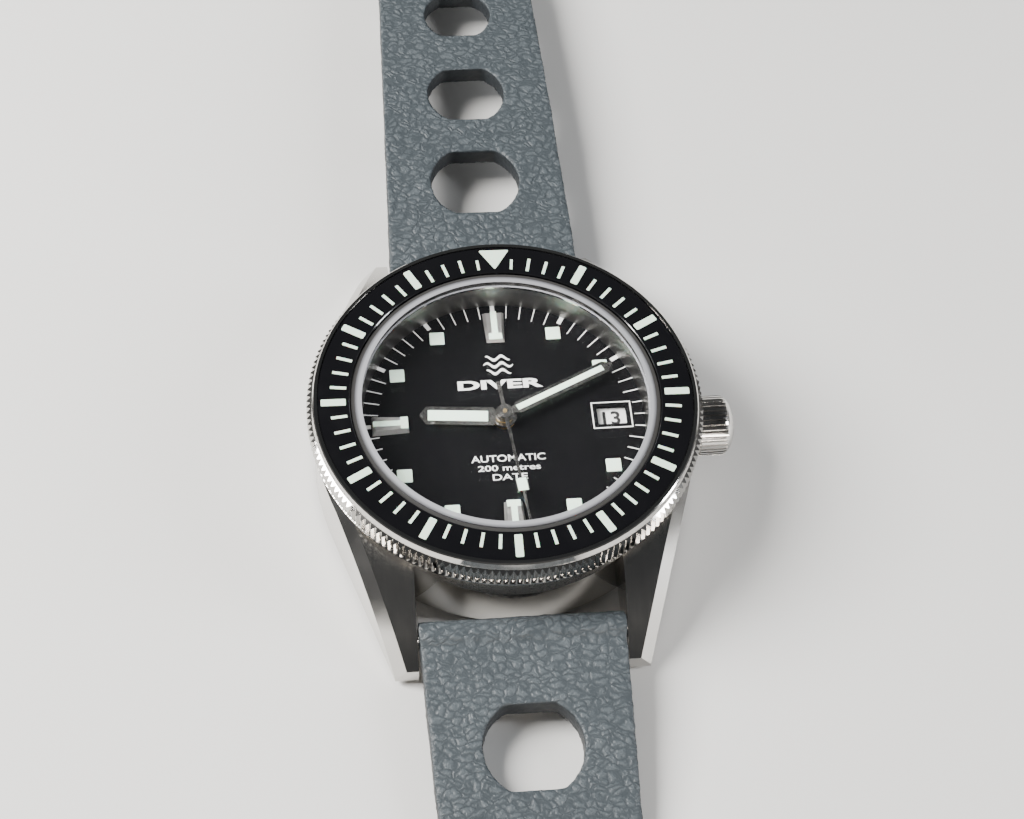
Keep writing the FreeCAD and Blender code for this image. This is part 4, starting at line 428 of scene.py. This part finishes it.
def leather():
    """Blue-grey hide with a pebbled grain, painted shade in its soft creases and painted sheen on the
    pebbles, and a darker fibrous edge and back.
    """
    surface = Surface("strap_leather", Specular_IOR_Level=0.24)
    place = surface.position()
    height = hide_height(surface, place)
    fine = surface.noise(place, 6, 5, 0.65)
    tone = surface.noise(place, 0.12, 4)
    grained = surface.node("ShaderNodeAttribute")
    grained.attribute_name = GRAIN_SIDE
    side = grained.outputs["Fac"]
    body = surface.blend(tone, (0.050, 0.060, 0.067), (0.072, 0.084, 0.092))
    worn = surface.blend(surface.spread(fine, 0, 1, 0.45, 0.8), body, (0.080, 0.092, 0.100))
    # Painted shade and sheen: the colour follows the grain's height, darker in the creases and lighter
    # on the raised pebbles, where the worn tone mottles it at random.
    raised = surface.spread(height, 0, 1, 0.35, 1.9)
    top = surface.blend(raised, (0.034, 0.041, 0.046), worn)
    fibre = surface.blend(fine, (0.010, 0.012, 0.014), (0.024, 0.027, 0.030))
    surface.colour(side, fibre, top)
    surface.link(surface.vary(fine, 0.36, 0.56), "Roughness")
    relief = surface.bump(surface.math("MULTIPLY", height, side), 0.55, 0.09)
    surface.link(surface.bump(fine, 0.4, 0.02, under=relief), "Normal")
    return surface.material


def table_top():
    """Plain pale board."""
    surface = Surface("table_top", Specular_IOR_Level=0.25)
    cloud = surface.noise(surface.position(), 0.01, 3)
    grain = surface.noise(surface.position(), 1.5, 3)
    surface.colour(cloud, (0.60, 0.595, 0.58), (0.66, 0.655, 0.64))
    surface.link(surface.spread(grain, 0.55, 0.7), "Roughness")
    return surface.material


STEEL = (0.66, 0.645, 0.62)
SLOT_MATERIALS = {
    "case_steel": case_metal(),
    "polished_steel": polished_metal("polished_steel", STEEL),
    "bezel_black": gloss_black(),
    "crystal_glass": sapphire(),
    "dial_black": dial_black(),
    "gasket_rubber": plain_plastic("gasket_rubber", (0.025, 0.025, 0.025), 0.6),
    "gasket_nylon": plain_plastic("gasket_nylon", (0.028, 0.027, 0.026), 0.5),
    "movement_brass": ring_brushed_metal("movement_brass", (0.80, 0.60, 0.30)),
    "movement_nickel": ring_brushed_metal("movement_nickel", (0.62, 0.60, 0.57)),
    "ruby": ruby(),
    "blued_steel": polished_metal("blued_steel", (0.05, 0.09, 0.34), 0.15),
    "date_white": printed("date_white", (0.82, 0.82, 0.80)),
    "strap_leather": leather(),
}
LUME = luminous()
WHITE_INK = printed("white_ink", (0.80, 0.80, 0.77))
BLACK_INK = printed("black_ink", (0.015, 0.015, 0.015))
REHAUT_STEEL = spun_metal("rehaut_steel", (0.32, 0.312, 0.305), 0.38)
HAND_STEEL = satin_metal("hand_steel", (0.62, 0.60, 0.57), 0.16)
INDEX_STEEL = satin_metal("index_steel", (0.44, 0.43, 0.41), 0.42)
CROWN_STEEL = polished_metal("crown_steel", STEEL, 0.17)
OWN_MATERIALS = {
    "rehaut": REHAUT_STEEL,
    "dial_indexes": INDEX_STEEL,
    "crown": CROWN_STEEL,
    "hour_hand": HAND_STEEL,
    "minute_hand": HAND_STEEL,
    "second_hand": HAND_STEEL,
}


def dress_cad_nodes():
    """Gives every carried-over node the procedural material of its slot."""
    for part in frame["record"]["subparts"]:
        material = OWN_MATERIALS.get(part["node"], SLOT_MATERIALS[part["material_slot"]])
        for holder in nodes[part["node"]].material_slots:
            holder.material = material


dress_cad_nodes()


# ---------------------------------------------------------------- small building tools


def object_from(name, data, body):
    """A new piece in the scene that rides on a CAD body."""
    piece = bpy.data.objects.new(name, data)
    bpy.context.scene.collection.objects.link(piece)
    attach(piece, body)
    return piece


def mesh_piece(name, made, body, material):
    """A piece of one material from a bmesh, which is used up."""
    data = bpy.data.meshes.new(name)
    made.to_mesh(data)
    made.free()
    data.materials.append(material)
    return object_from(name, data, body)


def ring_of(made, outline, height):
    """Corners of an outline at a height, all in mm."""
    return [made.verts.new((x * MM, y * MM, height * MM)) for x, y in outline]


def join_rings(made, first, second):
    """Faces between two closed rings with the same number of corners."""
    for index in range(len(first)):
        after = (index + 1) % len(first)
        made.faces.new((first[index], first[after], second[after], second[index]))


def plates(name, outlines, low, high, body, material, round_over=0.0):
    """One piece of flat plates: each outline (mm) is raised from low to high (mm)."""
    made = bmesh.new()
    for outline in outlines:
        bottom = ring_of(made, outline, low)
        top = ring_of(made, outline, high)
        made.faces.new(top)
        made.faces.new(bottom[::-1])
        join_rings(made, bottom, top)
    bmesh.ops.recalc_face_normals(made, faces=made.faces)
    piece = mesh_piece(name, made, body, material)
    if round_over:
        soften(piece, round_over)


SOFT_EDGE_ANGLE = math.radians(30)


def soften(piece, width, segments=2):
    """A small rounded edge, in mm."""
    bevel = piece.modifiers.new("soft_edges", "BEVEL")
    bevel.width = width * MM
    bevel.segments = segments
    bevel.limit_method = "ANGLE"
    bevel.angle_limit = SOFT_EDGE_ANGLE
    bevel.harden_normals = True


def turned(points, clockwise):
    """Points turned clockwise about the dial's axis, in degrees."""
    angle = math.radians(-clockwise)
    cosine, sine = math.cos(angle), math.sin(angle)
    return [(x * cosine - y * sine, x * sine + y * cosine) for x, y in points]


def bar(inner, outer, width, clockwise):
    """A straight bar that points outward from the dial's axis."""
    half = width / 2
    return turned([(-half, inner), (half, inner), (half, outer), (-half, outer)], clockwise)


# A side is at least this many times as long as the curve at each of its ends.
SIDE_TO_CURVE = 2.2


def rounded(outline, radius, steps):
    """A closed outline with its corners rounded by short curves, which leave some of each side."""
    done = []
    count = len(outline)
    for index, corner in enumerate(outline):
        corner = Vector(corner)
        before = Vector(outline[index - 1]) - corner
        after = Vector(outline[(index + 1) % count]) - corner
        half = before.angle(after) / 2
        longest = min(before.length, after.length) / SIDE_TO_CURVE
        reach = min(radius / math.tan(half), longest)
        start, end = corner + before.normalized() * reach, corner + after.normalized() * reach
        for step in range(steps + 1):
            share = step / steps
            first = start.lerp(corner, share)
            second = corner.lerp(end, share)
            done.append(tuple(first.lerp(second, share)))
    return done


def rectangle(x, y, width, height):
    a, b = width / 2, height / 2
    return [(x - a, y - b), (x + a, y - b), (x + a, y + b), (x - a, y + b)]


CAPITAL_SHARE = 0.73
LETTER_RELIEF = 0.006


def text_mesh(words, height, weight):
    """Outlined letters as a thin mesh in mm, centred on the origin. height is that of a capital, and
    weight is how far the strokes are thickened."""
    curve = bpy.data.curves.new("words", "FONT")
    curve.body = words
    curve.align_x = "CENTER"
    curve.size = height / CAPITAL_SHARE
    curve.offset = weight
    curve.extrude = LETTER_RELIEF
    curve.resolution_u = 6
    holder = bpy.data.objects.new("words", curve)
    bpy.context.scene.collection.objects.link(holder)
    bpy.context.view_layer.update()
    graph = bpy.context.evaluated_depsgraph_get()
    data = bpy.data.meshes.new_from_object(holder.evaluated_get(graph))
    bpy.data.objects.remove(holder)
    across = [vertex.co.x for vertex in data.vertices]
    upward = [vertex.co.y for vertex in data.vertices]
    middle = Vector(((min(across) + max(across)) / 2, (min(upward) + max(upward)) / 2, 0))
    for vertex in data.vertices:
        vertex.co -= middle
    return data


def stretch_to(data, width):
    """How many times wider the letters have to be to fill a width."""
    return width / 2 / max(vertex.co.x for vertex in data.vertices)


def lay_text(name, words, y, height, width, weight):
    """White words printed on the dial, centred at y (mm) and fitted to a width."""
    data = text_mesh(words, height, weight)
    stretch = stretch_to(data, width)
    for vertex in data.vertices:
        vertex.co.x *= stretch
        vertex.co = (vertex.co + Vector((0, y, PRINT_TOP))) * MM
    data.materials.clear()
    data.materials.append(WHITE_INK)
    data.name = name
    object_from(name, data, "case")


# ---------------------------------------------------------------- bezel markings

DEGREES_A_MINUTE = 6
BAR_INNER, BAR_OUTER = 15.49, 17.9
FIVE_MINUTE_WIDTH = 0.75
MINUTE_OUTER, MINUTE_WIDTH = 17.05, 0.3
# The two lines beside the triangle are shorter and thinner than the rest.
BESIDE_INNER, BESIDE_OUTER, BESIDE_WIDTH = BAR_INNER + 0.05, 16.75, 0.26
TRIANGLE_TIP, TRIANGLE_HALF = 15.5, 1.55
MARK_CORNER = 0.12
INSERT_TURN = 1.1
MARK_TOP = INSERT_TOP + 0.05
MARK_LOW = INSERT_TOP - 0.1


def bezel_scale():
    """A bar each five minutes, a thin line each minute and a triangle at twelve."""
    outlines = []
    for minute in range(1, 60):
        clockwise = minute * DEGREES_A_MINUTE
        if minute % 5 == 0:
            five = bar(BAR_INNER, BAR_OUTER, FIVE_MINUTE_WIDTH, clockwise)
            outlines.append(rounded(five, MARK_CORNER, 2))
        elif minute in (1, 59):
            outlines.append(bar(BESIDE_INNER, BESIDE_OUTER, BESIDE_WIDTH, clockwise))
        else:
            outlines.append(bar(BAR_INNER, MINUTE_OUTER, MINUTE_WIDTH, clockwise))
    triangle = [(-TRIANGLE_HALF, BAR_OUTER), (0, TRIANGLE_TIP), (TRIANGLE_HALF, BAR_OUTER)]
    outlines.append(rounded(triangle, MARK_CORNER, 3))
    outlines = [turned(outline, INSERT_TURN) for outline in outlines]
    plates("bezel_scale", outlines, MARK_LOW, MARK_TOP, "bezel", LUME)


bezel_scale()


# ---------------------------------------------------------------- dial

PRINT_TOP = DIAL_TOP + 0.02
PRINT_LOW = DIAL_TOP - 0.03
TRACK_OUTER = 14.0
LINE_INNER, LINE_WIDTH = 12.4, 0.1
HOUR_LINE_INNER, HOUR_LINE_WIDTH = 13.1, 0.42
# The date window leaves room only for short lines beside it.
SHORT_MINUTES = (14, 15, 16)
SHORT_INNER, SHORT_OUTER, SHORT_WIDTH = 12.95, TRACK_OUTER - 0.05, 0.09
# Hours whose place on the dial has neither an applied index nor the date window.
PLOT_HOURS = (1, 2, 4, 5, 7, 8, 10, 11)
PLOT_TOP = DIAL_TOP + 0.12
PLOT_RADIUS, PLOT_SIDE, PLOT_CORNER, PLOT_EDGE = 11.75, 1.47, 0.1, 0.05
DATE_CENTRE = 10.7
FRAME_WIDTH, FRAME_HEIGHT, FRAME_LINE = 3.95, 3.1, 0.12


def minute_track():
    """White lines at the edge of the dial, one a minute and thicker at each hour."""
    outlines = []
    for minute in range(60):
        clockwise = minute * DEGREES_A_MINUTE
        if minute in SHORT_MINUTES:
            outlines.append(bar(SHORT_INNER, SHORT_OUTER, SHORT_WIDTH, clockwise))
        elif minute % 5 == 0:
            outlines.append(bar(HOUR_LINE_INNER, TRACK_OUTER, HOUR_LINE_WIDTH, clockwise))
        else:
            outlines.append(bar(LINE_INNER, TRACK_OUTER, LINE_WIDTH, clockwise))
    plates("minute_track", outlines, PRINT_LOW, PRINT_TOP, "case", WHITE_INK)


def hour_plots():
    """Square luminous plots that stand on the dial."""
    outlines = []
    for hour in PLOT_HOURS:
        angle = math.radians(90 - 30 * hour)
        centre = (PLOT_RADIUS * math.cos(angle), PLOT_RADIUS * math.sin(angle))
        outlines.append(rounded(rectangle(*centre, PLOT_SIDE, PLOT_SIDE), PLOT_CORNER, 2))
    plates("hour_plots", outlines, PRINT_LOW, PLOT_TOP, "case", LUME, PLOT_EDGE)


def date_frame():
    """White printed outline round the date window."""
    made = bmesh.new()
    outer = rectangle(DATE_CENTRE, 0, FRAME_WIDTH, FRAME_HEIGHT)
    inner = rectangle(DATE_CENTRE, 0, FRAME_WIDTH - 2 * FRAME_LINE, FRAME_HEIGHT - 2 * FRAME_LINE)
    outer_low, outer_top = ring_of(made, outer, PRINT_LOW), ring_of(made, outer, PRINT_TOP)
    inner_low, inner_top = ring_of(made, inner, PRINT_LOW), ring_of(made, inner, PRINT_TOP)
    join_rings(made, outer_low, outer_top)
    join_rings(made, outer_top, inner_top)
    join_rings(made, inner_top, inner_low)
    join_rings(made, inner_low, outer_low)
    bmesh.ops.recalc_face_normals(made, faces=made.faces)
    mesh_piece("date_frame", made, "case", WHITE_INK)


WAVE_ROWS = 3
WAVE_TOP_ROW, WAVE_PITCH = 7.45, 0.83
WAVE_HALF, WAVE_HALF_STEP = 1.5, 0.28
WAVE_HEIGHT, WAVES_PER_MM = 0.24, 4.2
WAVE_THICK, WAVE_THIN = 0.15, 0.01
WAVE_STEPS = 36
WAVE_TOP = PRINT_TOP + 0.06


def wave_emblem():
    """A generic emblem of three stacked waves, the middle one longest, each thinning to its ends."""
    outlines = []
    for row in range(WAVE_ROWS):
        half = WAVE_HALF - WAVE_HALF_STEP * abs(row - 1)
        y = WAVE_TOP_ROW - WAVE_PITCH * row
        upper, lower = [], []
        for step in range(WAVE_STEPS + 1):
            x = -half + 2 * half * step / WAVE_STEPS
            taper = math.sin(math.pi * step / WAVE_STEPS) ** 0.5
            crest = WAVE_HEIGHT * math.sin(x * WAVES_PER_MM)
            upper.append((x, y + crest + WAVE_THICK * taper + WAVE_THIN))
            lower.append((x, y + crest - WAVE_THICK * taper - WAVE_THIN))
        outlines.append(lower + upper[::-1])
    plates("wave_emblem", outlines, PRINT_LOW, WAVE_TOP, "case", WHITE_INK)


def dial_words():
    """Generic words. A row holds the piece's name, the words, y, height, width and weight (mm)."""
    rows = (
        ("word_kind", "DIVER", 4.3, 1.05, 8.5, 0.055),
        ("word_winding", "AUTOMATIC", -4.4, 0.78, 7.25, 0.012),
        ("word_depth", "200 metres", -5.5, 0.66, 6.1, 0.012),
        ("word_date", "DATE", -6.55, 0.72, 3.4, 0.01),
    )
    for name, words, y, height, width, weight in rows:
        lay_text(name, words, y, height, width, weight)


minute_track()
hour_plots()
date_frame()
wave_emblem()
dial_words()


LUME_SINK = 0.1
INDEX_LUME_RISE, HAND_LUME_RISE = 0.03, 0.02
TEE_INNER, TEE_STEP, TEE_OUTER = 9.48, 10.2, 12.9
TEE_HALF, STEM_HALF = 0.67, 0.3


def index_lume():
    """T-shaped luminous fillings in the three applied indexes."""
    head = [(-TEE_HALF, TEE_INNER), (TEE_HALF, TEE_INNER), (TEE_HALF, TEE_STEP)]
    stem = [(STEM_HALF, TEE_STEP), (STEM_HALF, TEE_OUTER), (-STEM_HALF, TEE_OUTER)]
    neck = [(-STEM_HALF, TEE_STEP), (-TEE_HALF, TEE_STEP)]
    outlines = [turned(head + stem + neck, clockwise) for clockwise in (0, 180, 270)]
    low, high = INDEX_TOP - LUME_SINK, INDEX_TOP + INDEX_LUME_RISE
    plates("index_lume", outlines, low, high, "case", LUME)


def hand_lume():
    """Fillings that ride on the hands. A row holds the piece's name, its body, the hand's top, and
    the filling's distance from the axis, width, length (mm) and place on the dial (degrees)."""
    rows = (
        ("hour_lume", "hours", HOUR_TOP, 4.57, 1.2, 5.9, 274.5),
        ("minute_lume", "minutes", MINUTE_TOP, 6.4, 0.62, 9.9, 64.4),
        ("second_lume", "seconds", SECOND_TOP, 8.55, 0.98, 1.4, 174.0),
    )
    for name, body, top, distance, width, length, clockwise in rows:
        outline = turned(rectangle(0, distance, width, length), clockwise)
        plates(name, [outline], top - LUME_SINK, top + HAND_LUME_RISE, body, LUME)


index_lume()
hand_lume()


DAYS = 31
DAY_SHOWN = 13
NUMERAL_HEIGHT, NUMERAL_WEIGHT = 1.55, 0.05
ONE_DIGIT_WIDTH, TWO_DIGIT_WIDTH = 0.85, 1.75


def date_numerals():
    """The numerals of the date disc, with one of them under the window."""
    whole = bmesh.new()
    for day in range(1, DAYS + 1):
        data = text_mesh(str(day), NUMERAL_HEIGHT, NUMERAL_WEIGHT)
        width = TWO_DIGIT_WIDTH if day > 9 else ONE_DIGIT_WIDTH
        stretch = stretch_to(data, width)
        turning = Matrix.Rotation(math.radians((day - DAY_SHOWN) * 360 / DAYS), 4, "Z")
        place = Vector((DATE_CENTRE, 0, DATE_TOP + LETTER_RELIEF))
        for vertex in data.vertices:
            vertex.co.x *= stretch
            vertex.co = (turning @ (vertex.co + place)) * MM
        whole.from_mesh(data)
        bpy.data.meshes.remove(data)
    mesh_piece("date_numerals", whole, "date_disc", BLACK_INK)


date_numerals()


# ---------------------------------------------------------------- edges of the metal parts

SOFT_EDGES = {
    "case_middle": 0.12,
    "bezel_ring": 0.05,
    "crown": 0.05,
    "hour_hand": 0.04,
    "minute_hand": 0.04,
    "dial_indexes": 0.05,
    "buckle_frame": 0.25,
    "buckle_tongue": 0.12,
}


def soften_metal():
    for node, width in SOFT_EDGES.items():
        soften(nodes[node], width, 3)


soften_metal()


# ---------------------------------------------------------------- leather


# Each kind of unevenness: waves per mm, and depth in mm.
SMALL_DENTS = (0.9, 0.035)
WIDE_DENTS = (0.22, 0.06)
LOOSE_FIBRE = (2.6, 0.06)
# The hide sinks by this much, so that most of its bumps stay inside the CAD shape.
HIDE_SINK = 0.03


def unevenness(point, kind):
    waves, depth = kind
    return noise.noise(point * waves) * depth


def smoothstep(value, low, high):
    """0 below low and 1 above high, with a smooth rise between them."""
    share = min(max((value - low) / (high - low), 0.0), 1.0)
    return share * share * (3 - 2 * share)


def even_mesh(node, pitch):
    """A fine even mesh of a CAD node with its edges worn soft."""
    holder = bpy.data.objects.new("holder", nodes[node].data.copy())
    bpy.context.scene.collection.objects.link(holder)
    remesh = holder.modifiers.new("even_mesh", "REMESH")
    remesh.mode = "VOXEL"
    remesh.voxel_size = pitch * MM
    worn = holder.modifiers.new("worn_edges", "SMOOTH")
    worn.factor = 0.5
    worn.iterations = 3
    graph = bpy.context.evaluated_depsgraph_get()
    data = bpy.data.meshes.new_from_object(holder.evaluated_get(graph))
    bpy.data.objects.remove(holder)
    return data


def leather_piece(node, body, pitch, grain_share):
    """Leather in the shape of a CAD node, from a mesh of a pitch in mm; grain_share(point, normal)
    is 1 on the outer side and 0 on the fibrous back and edge."""
    data = even_mesh(node, pitch)
    count = len(data.vertices)
    grained = np.zeros(count, np.float32)
    moved = np.zeros((count, 3), np.float32)
    normals = [vertex.normal.copy() for vertex in data.vertices]
    for index, vertex in enumerate(data.vertices):
        point = vertex.co / MM
        share = grain_share(point, normals[index])
        dents = unevenness(point, SMALL_DENTS) + unevenness(point, WIDE_DENTS)
        fibre = (1 - share) * unevenness(point, LOOSE_FIBRE)
        grained[index] = share
        moved[index] = vertex.co + normals[index] * ((dents + fibre - HIDE_SINK) * MM)
    data.vertices.foreach_set("co", moved.ravel())
    data.attributes.new(GRAIN_SIDE, "FLOAT", "POINT").data.foreach_set("value", grained)
    data.shade_smooth()
    data.materials.clear()
    data.materials.append(SLOT_MATERIALS["strap_leather"])
    data.name = node + "_leather"
    piece = object_from(data.name, data, body)
    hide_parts(node)


def looking_up(point, normal):
    """The grain side of a strap half that lies flat."""
    return smoothstep(normal.z, 0.3, 0.75)


def looking_out(node):
    """The grain side of a keeper: faces that look away from its middle."""
    low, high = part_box(node)
    middle = (low + high) / 2 / MM

    def share(point, normal):
        away = Vector((point.x - middle.x, 0, point.z - middle.z))
        return smoothstep(away.normalized().dot(normal), 0.2, 0.6)

    return share


leather_piece("strap_twelve", "strap_twelve", 0.21, looking_up)
leather_piece("strap_six", "strap_six", 0.235, looking_up)
leather_piece("fixed_keeper", "strap_twelve", 0.16, looking_out("fixed_keeper"))
leather_piece("sliding_keeper", "keeper", 0.16, looking_out("sliding_keeper"))


# ---------------------------------------------------------------- studio


FLOOR_SIDE = 3000
# The table is a hair under the case back, so that the two faces don't share a plane.
FLOOR_DROP = 0.02


def add_floor():
    """The plain table that the watch lies on."""
    corners = [(x * MM, y * MM, 0) for x, y in rectangle(0, 0, FLOOR_SIDE, FLOOR_SIDE)]
    data = bpy.data.meshes.new("table_top")
    data.from_pydata(corners, [], [(0, 1, 2, 3)])
    data.materials.append(table_top())
    floor = bpy.data.objects.new("table_top", data)
    floor.location.z = -FLOOR_DROP * MM
    bpy.context.scene.collection.objects.link(floor)


def add_light(name, place, aim, size, power, tint):
    """A soft rectangular lamp; places and sizes in mm, power in watts. It isn't seen through glass,
    because shadow rays already carry its light through the crystal."""
    data = bpy.data.lights.new(name, "AREA")
    data.shape = "RECTANGLE"
    data.size, data.size_y = size[0] * MM, size[1] * MM
    data.energy = power
    data.color = tint
    lamp = bpy.data.objects.new(name, data)
    lamp.location = Vector(place) * MM
    away = Vector(place) - Vector(aim)
    lamp.rotation_mode = "QUATERNION"
    lamp.rotation_quaternion = away.to_track_quat("Z", "Y")
    lamp.visible_transmission = False
    bpy.context.scene.collection.objects.link(lamp)


def add_world():
    """A soft sky, paler at the horizon than overhead."""
    world = bpy.data.worlds.new("studio")
    world.use_nodes = True
    tree = world.node_tree
    background = tree.nodes["Background"]
    place = tree.nodes.new("ShaderNodeTexCoord")
    parts = tree.nodes.new("ShaderNodeSeparateXYZ")
    ramp = tree.nodes.new("ShaderNodeValToRGB")
    tree.links.new(place.outputs["Generated"], parts.inputs["Vector"])
    tree.links.new(parts.outputs["Z"], ramp.inputs["Fac"])
    tree.links.new(ramp.outputs["Color"], background.inputs["Color"])
    ramp.color_ramp.elements[0].color = (0.30, 0.30, 0.30, 1)
    ramp.color_ramp.elements[1].color = (0.05, 0.055, 0.06, 1)
    background.inputs["Strength"].default_value = 0.5
    bpy.context.scene.world = world


add_floor()
add_light("key", (-330, 60, 300), (0, 0, 5), (200, 260), 8.0, (1, 0.985, 0.96))
add_light("fill", (330, -60, 170), (0, 0, 5), (60, 260), 1.6, (0.95, 0.97, 1))
add_light("low_front", (40, -330, 90), (0, -10, 5), (260, 50), 1.0, (1, 0.93, 0.86))
add_world()
